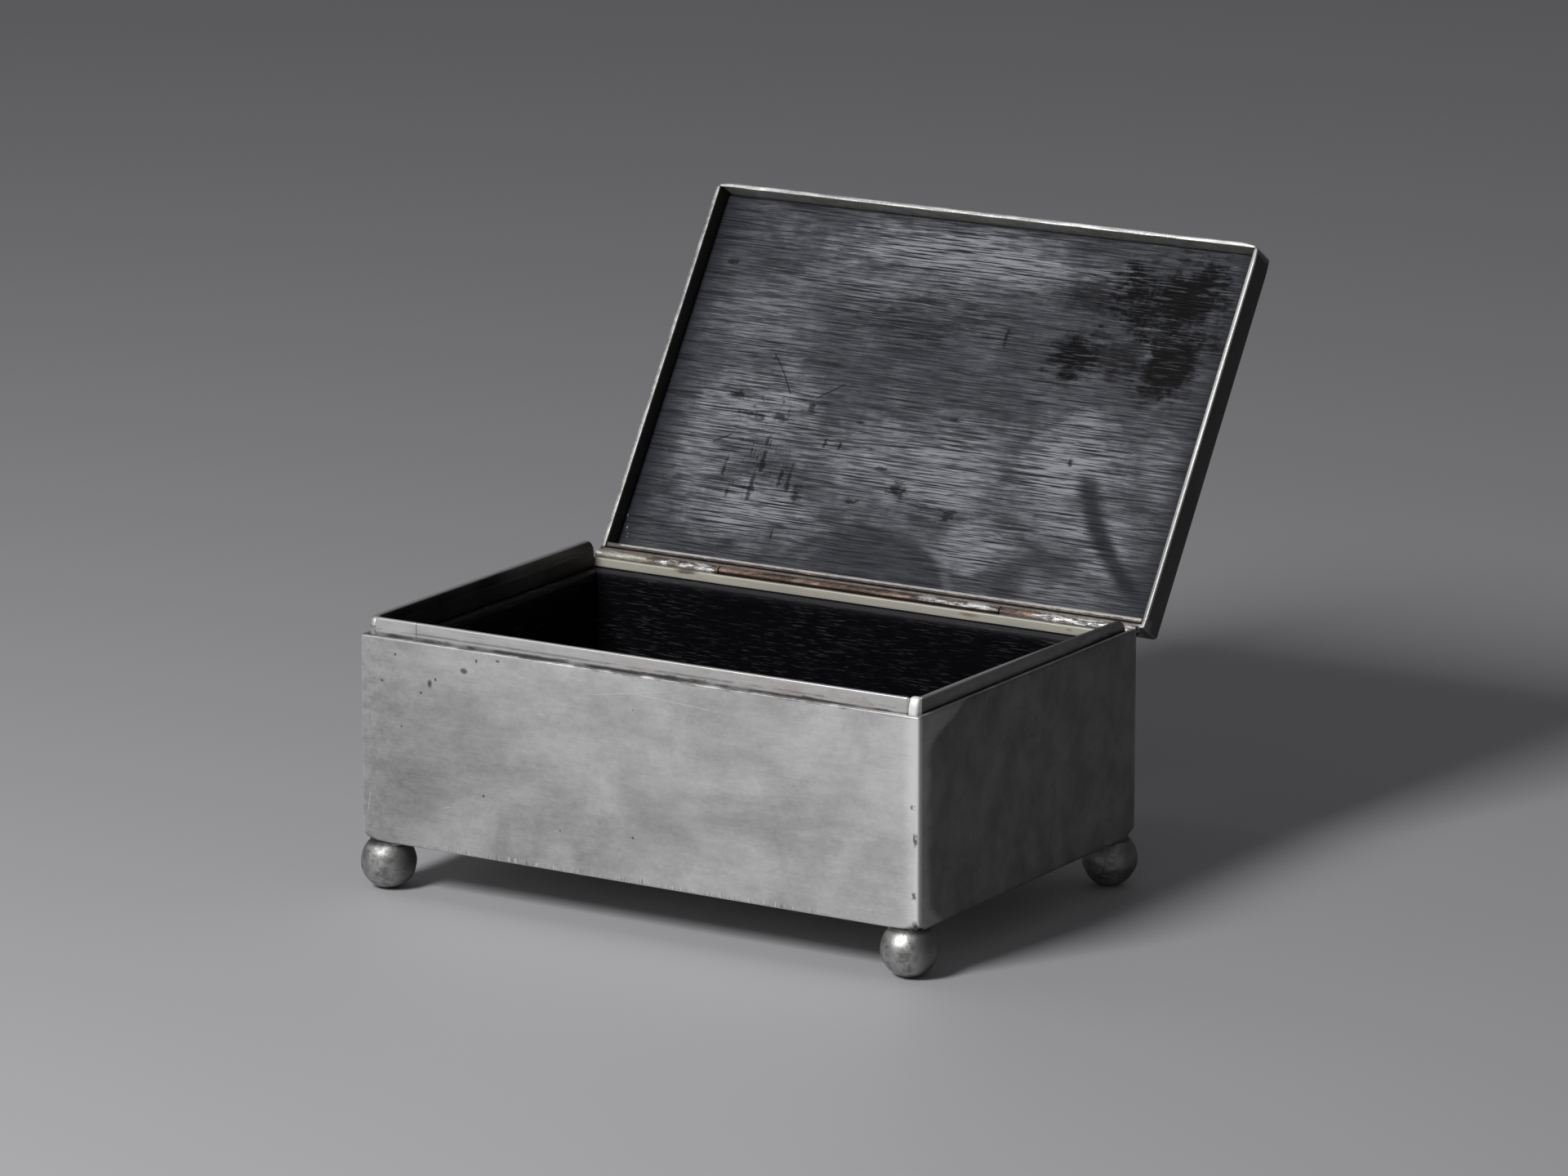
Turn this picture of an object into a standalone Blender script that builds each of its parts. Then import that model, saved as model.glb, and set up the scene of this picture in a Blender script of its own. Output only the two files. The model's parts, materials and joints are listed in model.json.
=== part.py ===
"""Rectangular pewter box with a hinged lid, four ball feet and dark wood linings.

The four walls are sheet pewter, mitred and soldered round a bottom plate.  A
collar of thinner strips stands up inside the walls, and the lid's skirt drops
over it onto the shoulder that the walls' top edges make.  The lid turns on a pin
through three tube knuckles behind the back wall.  It is modelled wide open.

X runs along the front, Y towards the back and Z up.  The origin lies on the
table, under the middle of the box and its open lid.  Lengths are in metres.
"""

import math

import bmesh
import bpy

# Body
BOX_LENGTH = 0.165
BOX_DEPTH = 0.1073
WALL_HEIGHT = 0.0541
SHEET = 0.0013
CORNER_RADIUS = 0.0015
WALL_EDGE_RADIUS = 0.0008
BOTTOM_SHEET = 0.0013

# Clearance left at every soldered, resting or running joint
JOINT_GAP = 0.0003

# Ball feet, worn flat below and cut flat above where they are soldered on
FOOT_RADIUS = 0.0073
FOOT_WORN_SHARE = 0.275
FOOT_SEAT_SHARE = 0.665
FOOT_INSET_X = 0.0052
FOOT_INSET_Y = 0.0042

# Collar that the lid drops over
COLLAR_SHEET = 0.0012
COLLAR_HEIGHT = 0.0040
COLLAR_BELOW = 0.0036
COLLAR_END_RADIUS = 0.0036
COLLAR_END_CLEARANCE = 0.0006
COLLAR_POST_SIZE = 0.0022
COLLAR_POST_RADIUS = 0.0008
STRIP_WEAR = 0.00025

# Wood lining of the compartment
LINING_THICKNESS = 0.0030
LINING_EDGE_RADIUS = 0.0013
LINING_BASE_THICKNESS = 0.0025

# Lid, deep enough to take the collar
LID_CLEARANCE = 0.0012
LID_PANEL_THICKNESS = 0.0019
LID_PANEL_EDGE_RADIUS = 0.0004
LID_PLATE_SHEET = 0.0013
LID_EDGE_RADIUS = 0.0010

# Hinge: a tube that sits on the back wall's outer top corner, under the lid's rim
PIN_RADIUS = 0.00055
PIN_END_RADIUS = 0.0002
TUBE_WALL = 0.00055
TUBE_SEAT_ANGLE = math.radians(40)
RIM_CLEARANCE = 0.0001
HINGE_END_INSET = 0.0010
LEFT_KNUCKLE_LENGTH = 0.0381
RIGHT_KNUCKLE_LENGTH = 0.0397
OPEN_ANGLE = math.radians(123.24)

# Facets, the largest share of a wall that a rounding takes, and the angle shaded sharp
ARC_STEPS = 5
ROUND_STEPS = 32
ROUNDING_SHARE = 0.8
SHARP_ANGLE = math.radians(40)


def rounding(wanted, *walls):
    """A fillet's radius, limited by the walls that it is cut from."""
    return min(wanted, *(ROUNDING_SHARE * wall for wall in walls))


# Levels, from the table up
FOOT_CENTRE_Z = FOOT_RADIUS * math.sqrt(1 - FOOT_WORN_SHARE ** 2)
FOOT_TOP_Z = FOOT_CENTRE_Z + FOOT_RADIUS * math.sqrt(1 - FOOT_SEAT_SHARE ** 2)
UNDERSIDE_Z = FOOT_TOP_Z + JOINT_GAP
SHOULDER_Z = UNDERSIDE_Z + WALL_HEIGHT
COLLAR_TOP_Z = SHOULDER_Z + COLLAR_HEIGHT
COLLAR_FOOT_Z = SHOULDER_Z - COLLAR_BELOW
PLATE_TOP_Z = UNDERSIDE_Z + BOTTOM_SHEET
LINING_FOOT_Z = PLATE_TOP_Z + JOINT_GAP
BASE_TOP_Z = LINING_FOOT_Z + LINING_BASE_THICKNESS
LINING_TOP_Z = COLLAR_FOOT_Z - JOINT_GAP
RIM_Z = SHOULDER_Z + JOINT_GAP
PANEL_FACE_Z = COLLAR_TOP_Z + LID_CLEARANCE
SKIRT_TOP_Z = PANEL_FACE_Z + LID_PANEL_THICKNESS
LID_PLATE_Z = SKIRT_TOP_Z + JOINT_GAP
LID_TOP_Z = LID_PLATE_Z + LID_PLATE_SHEET

# Places in plan, from the middle of the footprint
HALF_LENGTH = BOX_LENGTH / 2
HALF_DEPTH = BOX_DEPTH / 2
INNER_HALF_LENGTH = HALF_LENGTH - SHEET - JOINT_GAP
INNER_HALF_DEPTH = HALF_DEPTH - SHEET - JOINT_GAP
BEARER_FACE_Y = INNER_HALF_DEPTH - COLLAR_SHEET
SIDE_COLLAR_END_Y = BEARER_FACE_Y - COLLAR_END_CLEARANCE

# Hinge
BORE_RADIUS = PIN_RADIUS + JOINT_GAP
TUBE_RADIUS = BORE_RADIUS + TUBE_WALL
TUBE_SEAT_RADIUS = TUBE_RADIUS + JOINT_GAP
HINGE_Y = HALF_DEPTH + TUBE_SEAT_RADIUS * math.cos(TUBE_SEAT_ANGLE)
HINGE_Z = RIM_Z - RIM_CLEARANCE - TUBE_RADIUS
BACK_WALL_TOP_Z = HINGE_Z - TUBE_SEAT_RADIUS * math.sin(TUBE_SEAT_ANGLE)
HINGE_HALF_LENGTH = HALF_LENGTH - HINGE_END_INSET
LEFT_SEAM_X = LEFT_KNUCKLE_LENGTH - HINGE_HALF_LENGTH
RIGHT_SEAM_X = HINGE_HALF_LENGTH - RIGHT_KNUCKLE_LENGTH

# Roundings
CORNER_ROUND = rounding(CORNER_RADIUS, BOX_LENGTH, BOX_DEPTH)
WALL_ROUND = rounding(WALL_EDGE_RADIUS, SHEET, CORNER_ROUND)
LID_ROUND = rounding(LID_EDGE_RADIUS, LID_PLATE_SHEET, CORNER_ROUND)
RIM_ROUND = rounding(STRIP_WEAR, SHEET / 2, CORNER_ROUND)
STRIP_ROUND = rounding(STRIP_WEAR, COLLAR_SHEET / 2)
POST_ROUND = rounding(COLLAR_POST_RADIUS, COLLAR_POST_SIZE / 2)
LINING_ROUND = rounding(LINING_EDGE_RADIUS, LINING_THICKNESS)
PANEL_ROUND = rounding(LID_PANEL_EDGE_RADIUS, LID_PANEL_THICKNESS / 2)
PIN_ROUND = rounding(PIN_END_RADIUS, PIN_RADIUS)
COLLAR_END_ROUND = rounding(COLLAR_END_RADIUS, COLLAR_HEIGHT + COLLAR_BELOW)


def plan_centre_y():
    """Middle, front to back, of the front feet and the open lid's furthest edge."""
    front = FOOT_INSET_Y - HALF_DEPTH - FOOT_RADIUS
    edge_y = LID_ROUND - HALF_DEPTH - HINGE_Y
    edge_z = LID_TOP_Z - LID_ROUND - HINGE_Z
    swung_y = edge_y * math.cos(OPEN_ANGLE) + edge_z * math.sin(OPEN_ANGLE)
    back = HINGE_Y + swung_y + LID_ROUND
    return (front + back) / 2


def clear_scene():
    """Remove whatever the file opened with."""
    for item in list(bpy.data.objects):
        bpy.data.objects.remove(item, do_unlink=True)


def make_material(name, colour, roughness, metallic):
    """One Principled material."""
    material = bpy.data.materials.new(name)
    material.use_nodes = True
    shader = material.node_tree.nodes["Principled BSDF"]
    shader.inputs["Base Color"].default_value = (*colour, 1.0)
    shader.inputs["Roughness"].default_value = roughness
    shader.inputs["Metallic"].default_value = metallic
    return material


def make_empty(name, location, parent=None):
    """An empty that carries pieces."""
    empty = bpy.data.objects.new(name, None)
    empty.location = location
    empty.parent = parent
    bpy.context.scene.collection.objects.link(empty)
    return empty


def add_piece(name, shape, material, parent, location=(0.0, 0.0, 0.0), turn=0.0, smooth=False):
    """Put a finished shape into the scene as one named piece under its parent."""
    bmesh.ops.recalc_face_normals(shape, faces=shape.faces)
    mesh = bpy.data.meshes.new(name)
    shape.to_mesh(mesh)
    shape.free()
    mesh.materials.append(material)
    if smooth:
        mesh.shade_smooth()
        mesh.set_sharp_from_angle(angle=SHARP_ANGLE)
    piece = bpy.data.objects.new(name, mesh)
    piece.location = location
    piece.rotation_euler.z = turn
    piece.parent = parent
    bpy.context.scene.collection.objects.link(piece)
    return piece


def arc(centre, radius, start, end, steps=ARC_STEPS):
    """Points on an arc in a plane, from one angle to another, both ends included."""
    angles = [start + (end - start) * step / steps for step in range(steps + 1)]
    return [(centre[0] + radius * math.cos(a), centre[1] + radius * math.sin(a)) for a in angles]


def loft(loops):
    """Skin a stack of closed loops with equal point counts, and cap both ends."""
    shape = bmesh.new()
    rings = [[shape.verts.new(point) for point in loop] for loop in loops]
    for lower, upper in zip(rings, rings[1:]):
        for index, corner in enumerate(lower):
            after = (index + 1) % len(lower)
            shape.faces.new((corner, lower[after], upper[after], upper[index]))
    shape.faces.new(rings[0][::-1])
    shape.faces.new(rings[-1])
    return shape


def stack(outline, levels):
    """Loft an outline, as a function of its inset, through (inset, z) levels."""
    return loft([[(x, y, z) for x, y in outline(inset)] for inset, z in levels])


def bar(profile, start_x, end_x):
    """Carry a (y, z) profile straight along X."""
    return loft([[(x, y, z) for y, z in profile] for x in (start_x, end_x)])


def block(low, high):
    """A plain rectangular block between two corners."""
    profile = [(low[1], low[2]), (high[1], low[2]), (high[1], high[2]), (low[1], high[2])]
    return bar(profile, low[0], high[0])


def turned(profile, axis):
    """Spin a closed profile of (distance from the axis, place along it) once round X or Z."""
    along_z = axis == "Z"
    points = [(0.0, r, h) if along_z else (h, r, 0.0) for r, h in profile]
    direction = (0.0, 0.0, 1.0) if along_z else (1.0, 0.0, 0.0)
    shape = bmesh.new()
    vertices = [shape.verts.new(point) for point in points]
    edges = [shape.edges.new(pair) for pair in zip(vertices, vertices[1:] + vertices[:1])]
    bmesh.ops.spin(
        shape, geom=vertices + edges, cent=(0.0, 0.0, 0.0), axis=direction,
        angle=math.tau, steps=ROUND_STEPS, use_merge=True,
    )
    bmesh.ops.remove_doubles(shape, verts=shape.verts, dist=PIN_ROUND / ROUND_STEPS)
    return shape


def soften(piece, width):
    """Round a piece's edges with a bevel."""
    bevel = piece.modifiers.new("worn edges", "BEVEL")
    bevel.width = width
    bevel.segments = 2
    bevel.limit_method = "ANGLE"


def rounded_levels(foot, head, radius):
    """(inset, z) levels of an upright face whose foot and head edges are rounded."""
    low = arc((radius, foot + radius), radius, -math.pi / 2, -math.pi)
    high = arc((radius, head - radius), radius, math.pi, math.pi / 2)
    return low + high


def mitred_outline(span, reach):
    """Plan of a sheet along X whose ends are mitred at half of a rounded corner.

    The outer face lies at -reach.  The joint's clearance comes off both ends.
    """
    half = span / 2 - JOINT_GAP * math.sqrt(0.5)
    centre_x = half - CORNER_ROUND
    centre_y = CORNER_ROUND - reach

    def outline(inset):
        radius = CORNER_ROUND - inset
        left = arc((-centre_x, centre_y), radius, math.pi * 5 / 4, math.pi * 3 / 2)
        right = arc((centre_x, centre_y), radius, math.pi * 3 / 2, math.pi * 7 / 4)
        inner = [(half - SHEET, SHEET - reach), (SHEET - half, SHEET - reach)]
        return left + right + inner

    return outline


def rounded_rectangle(half_x, half_y, radius):
    """Plan of a rectangle with rounded corners, as a function of its inset."""
    def outline(inset):
        points = []
        for quarter, (sign_x, sign_y) in enumerate(((1, 1), (-1, 1), (-1, -1), (1, -1))):
            centre = (sign_x * (half_x - radius), sign_y * (half_y - radius))
            start = quarter * math.pi / 2
            points += arc(centre, radius - inset, start, start + math.pi / 2)
        return points

    return outline


def build_walls(frame, pewter):
    """Four mitred sheets; the back one is cut down for the hinge tube."""
    walls = (
        ("front_wall", BOX_LENGTH, HALF_DEPTH, 0.0, SHOULDER_Z),
        ("right_wall", BOX_DEPTH, HALF_LENGTH, math.pi / 2, SHOULDER_Z),
        ("back_wall", BOX_LENGTH, HALF_DEPTH, math.pi, BACK_WALL_TOP_Z),
        ("left_wall", BOX_DEPTH, HALF_LENGTH, -math.pi / 2, SHOULDER_Z),
    )
    for name, span, reach, turn, top in walls:
        levels = rounded_levels(UNDERSIDE_Z, top, WALL_ROUND)
        add_piece(name, stack(mitred_outline(span, reach), levels), pewter, frame, turn=turn)


def build_bottom(frame, pewter):
    """Plate between the feet of the walls, flush with their lower edges."""
    low = (-INNER_HALF_LENGTH, -INNER_HALF_DEPTH, UNDERSIDE_Z)
    high = (INNER_HALF_LENGTH, INNER_HALF_DEPTH, PLATE_TOP_Z)
    add_piece("bottom_plate", block(low, high), pewter, frame)


def build_feet(frame, pewter):
    """Four balls under the corners."""
    worn = -math.acos(FOOT_WORN_SHARE)
    seat = math.acos(FOOT_SEAT_SHARE)
    curve = arc((0.0, 0.0), FOOT_RADIUS, worn, seat, ROUND_STEPS // 2)
    profile = [(0.0, curve[0][1])] + curve + [(0.0, curve[-1][1])]
    feet = (
        ("foot_front_left", -1, -1),
        ("foot_front_right", 1, -1),
        ("foot_back_left", -1, 1),
        ("foot_back_right", 1, 1),
    )
    for name, side_x, side_y in feet:
        place_x = side_x * (HALF_LENGTH - FOOT_INSET_X)
        place_y = side_y * (HALF_DEPTH - FOOT_INSET_Y)
        place = (place_x, place_y, FOOT_CENTRE_Z)
        add_piece(name, turned(profile, "Z"), pewter, frame, place, smooth=True)


def build_front_collar(frame, pewter):
    """Strip between the two front posts."""
    end_x = INNER_HALF_LENGTH - COLLAR_POST_SIZE - JOINT_GAP
    low = (-end_x, -INNER_HALF_DEPTH, COLLAR_FOOT_Z)
    high = (end_x, COLLAR_SHEET - INNER_HALF_DEPTH, COLLAR_TOP_Z)
    soften(add_piece("front_collar", block(low, high), pewter, frame), STRIP_ROUND)


def build_side_collars(frame, pewter):
    """Strips from the front posts to just short of the bearer, rounded at the rear top."""
    front_y = COLLAR_POST_SIZE + JOINT_GAP - INNER_HALF_DEPTH
    centre = (SIDE_COLLAR_END_Y - COLLAR_END_ROUND, COLLAR_TOP_Z - COLLAR_END_ROUND)
    rear = arc(centre, COLLAR_END_ROUND, 0.0, math.pi / 2)
    profile = [(front_y, COLLAR_FOOT_Z), (SIDE_COLLAR_END_Y, COLLAR_FOOT_Z)]
    profile += rear + [(front_y, COLLAR_TOP_Z)]
    for name, side in (("left_collar", -1), ("right_collar", 1)):
        inner_x = side * (INNER_HALF_LENGTH - COLLAR_SHEET)
        strip = bar(profile, inner_x, side * INNER_HALF_LENGTH)
        soften(add_piece(name, strip, pewter, frame), STRIP_ROUND)


def build_collar_posts(frame, solder):
    """Solder-filled corners of the collar."""
    half = COLLAR_POST_SIZE / 2
    outline = rounded_rectangle(half, half, POST_ROUND)
    levels = rounded_levels(COLLAR_FOOT_Z, COLLAR_TOP_Z, STRIP_ROUND)
    for name, side in (("collar_post_left", -1), ("collar_post_right", 1)):
        place = (side * (INNER_HALF_LENGTH - half), half - INNER_HALF_DEPTH, 0.0)
        add_piece(name, stack(outline, levels), solder, frame, place)


def build_bearer(frame, nickel):
    """Strip along the foot of the hinge, as high as the hinge's axis."""
    low = (-INNER_HALF_LENGTH, BEARER_FACE_Y, COLLAR_FOOT_Z)
    high = (INNER_HALF_LENGTH, INNER_HALF_DEPTH, HINGE_Z)
    add_piece("back_bearer", block(low, high), nickel, frame)


def lining_profile(reach):
    """(y, z) section of a lining board whose inner top edge is rounded over."""
    inner = reach - LINING_THICKNESS
    centre = (inner + LINING_ROUND, LINING_TOP_Z - LINING_ROUND)
    top = arc(centre, LINING_ROUND, math.pi / 2, math.pi)
    return [(inner, LINING_FOOT_Z), (reach, LINING_FOOT_Z), (reach, LINING_TOP_Z)] + top


def build_lining(frame, wood):
    """Four boards round a base board, under the collar's lower edge."""
    base_half = INNER_HALF_LENGTH - LINING_THICKNESS - JOINT_GAP
    side_half = INNER_HALF_DEPTH - LINING_THICKNESS - JOINT_GAP
    boards = (
        ("lining_front", INNER_HALF_DEPTH, INNER_HALF_LENGTH, math.pi),
        ("lining_back", INNER_HALF_DEPTH, INNER_HALF_LENGTH, 0.0),
        ("lining_left", INNER_HALF_LENGTH, side_half, math.pi / 2),
        ("lining_right", INNER_HALF_LENGTH, side_half, -math.pi / 2),
    )
    for name, reach, half, turn in boards:
        board = bar(lining_profile(reach), -half, half)
        add_piece(name, board, wood, frame, turn=turn)
    low = (-base_half, -side_half, LINING_FOOT_Z)
    high = (base_half, side_half, BASE_TOP_Z)
    add_piece("lining_base", block(low, high), wood, frame)


def knuckle(start_x, end_x):
    """A tube along X with a bore for the pin."""
    profile = [(BORE_RADIUS, start_x), (TUBE_RADIUS, start_x)]
    profile += [(TUBE_RADIUS, end_x), (BORE_RADIUS, end_x)]
    return turned(profile, "X")


def build_body_hinge(frame, tube, wire):
    """The two outer knuckles, which belong to the box, and the pin through all three."""
    place = (0.0, HINGE_Y, HINGE_Z)
    left = knuckle(-HINGE_HALF_LENGTH, LEFT_SEAM_X)
    add_piece("hinge_knuckle_left", left, tube, frame, place, smooth=True)
    right = knuckle(RIGHT_SEAM_X, HINGE_HALF_LENGTH)
    add_piece("hinge_knuckle_right", right, tube, frame, place, smooth=True)
    face = [(0.0, HINGE_HALF_LENGTH), (PIN_RADIUS - PIN_ROUND, HINGE_HALF_LENGTH)]
    end = face + [(PIN_RADIUS, HINGE_HALF_LENGTH - PIN_ROUND)]
    profile = end[::-1] + [(r, -x) for r, x in end]
    add_piece("hinge_pin", turned(profile, "X"), wire, frame, place, smooth=True)


def build_lid_skirts(lid, place, pewter):
    """Four mitred sheets of the same stock as the walls."""
    skirts = (
        ("lid_front_skirt", BOX_LENGTH, HALF_DEPTH, 0.0),
        ("lid_right_skirt", BOX_DEPTH, HALF_LENGTH, math.pi / 2),
        ("lid_rear_skirt", BOX_LENGTH, HALF_DEPTH, math.pi),
        ("lid_left_skirt", BOX_DEPTH, HALF_LENGTH, -math.pi / 2),
    )
    levels = rounded_levels(RIM_Z, SKIRT_TOP_Z, RIM_ROUND)
    for name, span, reach, turn in skirts:
        add_piece(name, stack(mitred_outline(span, reach), levels), pewter, lid, place, turn)


def build_lid_plate(lid, place, pewter):
    """Flat top, rounded over at its outer edge."""
    outline = rounded_rectangle(HALF_LENGTH, HALF_DEPTH, CORNER_ROUND)
    edge = arc((LID_ROUND, LID_TOP_Z - LID_ROUND), LID_ROUND, math.pi, math.pi / 2)
    levels = [(0.0, LID_PLATE_Z)] + edge
    add_piece("lid_plate", stack(outline, levels), pewter, lid, place)


def build_lid_inside(lid, place, nickel, wood):
    """Bearer strip along the rear skirt, and the wood panel in front of it."""
    low = (-INNER_HALF_LENGTH, BEARER_FACE_Y, RIM_Z)
    high = (INNER_HALF_LENGTH, INNER_HALF_DEPTH, SKIRT_TOP_Z)
    add_piece("lid_bearer", block(low, high), nickel, lid, place)
    low = (-INNER_HALF_LENGTH, -INNER_HALF_DEPTH, PANEL_FACE_Z)
    high = (INNER_HALF_LENGTH, BEARER_FACE_Y - JOINT_GAP, SKIRT_TOP_Z)
    soften(add_piece("lid_panel", block(low, high), wood, lid, place), PANEL_ROUND)


def build_lid(lid, pewter, nickel, wood, tube):
    """The lid's pieces in their closed places, measured from the hinge's axis."""
    place = (0.0, -HINGE_Y, -HINGE_Z)
    build_lid_skirts(lid, place, pewter)
    build_lid_plate(lid, place, pewter)
    build_lid_inside(lid, place, nickel, wood)
    middle = knuckle(LEFT_SEAM_X + JOINT_GAP, RIGHT_SEAM_X - JOINT_GAP)
    add_piece("hinge_knuckle_middle", middle, tube, lid, smooth=True)


def main():
    """Build the box, then the lid turned open on its hinge."""
    clear_scene()
    pewter = make_material("aged pewter", (0.42, 0.42, 0.41), 0.42, 1.0)
    ball_pewter = make_material("ball pewter", (0.45, 0.45, 0.44), 0.35, 1.0)
    solder = make_material("bright solder", (0.72, 0.72, 0.70), 0.30, 1.0)
    nickel = make_material("nickel strip", (0.62, 0.60, 0.52), 0.38, 1.0)
    tube = make_material("stained tube", (0.34, 0.27, 0.22), 0.45, 1.0)
    black_wood = make_material("black stained wood", (0.012, 0.012, 0.014), 0.40, 0.0)
    panel_wood = make_material("worn stained wood", (0.055, 0.056, 0.062), 0.45, 0.0)

    frame = make_empty("box_frame", (0.0, -plan_centre_y(), 0.0))
    build_walls(frame, pewter)
    build_bottom(frame, pewter)
    build_feet(frame, ball_pewter)
    build_front_collar(frame, pewter)
    build_side_collars(frame, pewter)
    build_collar_posts(frame, solder)
    build_bearer(frame, nickel)
    build_lining(frame, black_wood)
    build_body_hinge(frame, tube, solder)

    lid = make_empty("lid_hinge_axis", (0.0, HINGE_Y, HINGE_Z), frame)
    lid.rotation_euler.x = -OPEN_ANGLE
    build_lid(lid, pewter, nickel, panel_wood, tube)


main()
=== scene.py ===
"""Looks of a pewter lidded box with a tube hinge, ball feet and dark wood linings."""

import json
import math

import bpy
import numpy as np
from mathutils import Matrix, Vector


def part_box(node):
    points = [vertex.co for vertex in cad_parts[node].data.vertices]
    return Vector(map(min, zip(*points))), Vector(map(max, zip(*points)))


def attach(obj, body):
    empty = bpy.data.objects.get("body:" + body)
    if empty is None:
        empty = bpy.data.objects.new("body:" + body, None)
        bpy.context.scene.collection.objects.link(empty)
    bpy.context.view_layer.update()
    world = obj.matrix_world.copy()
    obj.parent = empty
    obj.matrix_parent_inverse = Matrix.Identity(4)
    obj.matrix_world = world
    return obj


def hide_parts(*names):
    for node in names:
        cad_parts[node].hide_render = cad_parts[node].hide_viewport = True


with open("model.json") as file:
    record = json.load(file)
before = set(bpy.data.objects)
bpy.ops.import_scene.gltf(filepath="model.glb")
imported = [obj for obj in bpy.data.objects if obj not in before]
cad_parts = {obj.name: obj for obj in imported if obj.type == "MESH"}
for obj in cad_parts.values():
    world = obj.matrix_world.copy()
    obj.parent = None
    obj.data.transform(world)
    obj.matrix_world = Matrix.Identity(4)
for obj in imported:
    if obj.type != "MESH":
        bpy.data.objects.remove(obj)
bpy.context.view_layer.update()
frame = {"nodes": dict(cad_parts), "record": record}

bl_info = {
    "name": "Pewter lidded box",
    "version": (1, 0, 0),
    "blender": (4, 5, 0),
    "location": "3D view > Sidebar > Lidded box",
    "description": "Pewter box with a hinged lid, ball feet and dark wood linings",
    "category": "Add Mesh",
}

MM = 0.001
QUARTER = math.pi / 2


def corners(node):
    """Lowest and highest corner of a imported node, as arrays."""
    low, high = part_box(node)
    return np.array(low), np.array(high)


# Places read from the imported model, in metres
FRONT_LOW, FRONT_HIGH = corners("front_wall")
BACK_HIGH = corners("back_wall")[1]
HALF_LENGTH = corners("right_wall")[1][0]
FRONT_Y = FRONT_LOW[1]
BACK_Y = BACK_HIGH[1]
HALF_DEPTH = (BACK_Y - FRONT_Y) / 2
CENTRE_Y = (BACK_Y + FRONT_Y) / 2
SHEET = FRONT_HIGH[1] - FRONT_LOW[1]
UNDER_Z = FRONT_LOW[2]
SHOULDER_Z = FRONT_HIGH[2]
BACK_TOP_Z = BACK_HIGH[2]
HINGE = frame["record"]["behaviour"]["joints"][0]
HINGE_PLACE = np.array(HINGE["pos_m"])
OPEN_ANGLE = math.radians(HINGE["range_deg"][1])


def turned(points, angle):
    """Points turned about the hinge's axis by an angle."""
    sine = math.sin(angle)
    cosine = math.cos(angle)
    turn = np.array([[1.0, 0.0, 0.0], [0.0, cosine, -sine], [0.0, sine, cosine]])
    return (points - HINGE_PLACE) @ turn.T + HINGE_PLACE


def opened(points):
    """Points of the shut lid, turned to where the lid stands open."""
    return turned(points, -OPEN_ANGLE)


def closed_box(node):
    """Lowest and highest corner that a node of the lid has when the lid is shut."""
    mesh = frame["nodes"][node].data
    flat = np.empty(len(mesh.vertices) * 3)
    mesh.vertices.foreach_get("co", flat)
    shut = turned(flat.reshape(-1, 3), OPEN_ANGLE)
    return shut.min(axis=0), shut.max(axis=0)


# Places for the finishes, in millimetres from the box's middle and up from the table
SIDE_X = HALF_LENGTH / MM
END_Y = HALF_DEPTH / MM
UNDER = UNDER_Z / MM
SHOULDER = SHOULDER_Z / MM
COLLAR_TOP = corners("front_collar")[1][2] / MM
BEARER_LOW, BEARER_TOP = (corner[2] / MM for corner in corners("back_bearer"))
LINING_TOP = corners("lining_front")[1][2] / MM
RIM = closed_box("lid_front_skirt")[0][2] / MM
CEILING = closed_box("lid_plate")[0][2] / MM
BALL_X, BALL_Y, _ = (sum(corners("foot_back_right")) / 2 - [0.0, CENTRE_Y, 0.0]) / MM


def size_setting(name, description, default):
    """A length that a user may change."""
    return bpy.props.FloatProperty(
        name=name, description=description, default=default, unit="LENGTH",
    )


def colour_setting(name, description, default):
    """A colour that a user may change."""
    return bpy.props.FloatVectorProperty(
        name=name, description=description, default=default, subtype="COLOR", min=0.0, max=1.0,
    )


class BoxSizes(bpy.types.PropertyGroup):
    """Small sizes of the handmade surfaces."""

    waviness: size_setting("Wall waviness", "How far the sheet walls stray from flat", 0.00012)
    corner_radius: size_setting("Corner radius", "Rounding of the upright corners", 0.0010)
    bottom_corner: size_setting(
        "Filed lower corners", "Rounding of the walls' lower edge at the corners", 0.0030,
    )
    bottom_edge: size_setting("Lower edge radius", "Rounding of the walls' lower edge", 0.0007)
    shoulder_edge: size_setting(
        "Shoulder edge radius", "Rounding of the walls' upper outer edge", 0.0005,
    )
    lid_edge: size_setting("Lid edge radius", "Rounding of the lid's upper edge", 0.0010)
    dent: size_setting("Ball dents", "Depth of the small flats on the ball feet", 0.00012)
    solder_lump: size_setting(
        "Solder unevenness", "How much the solder runs swell and shrink", 0.00035,
    )


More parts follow.
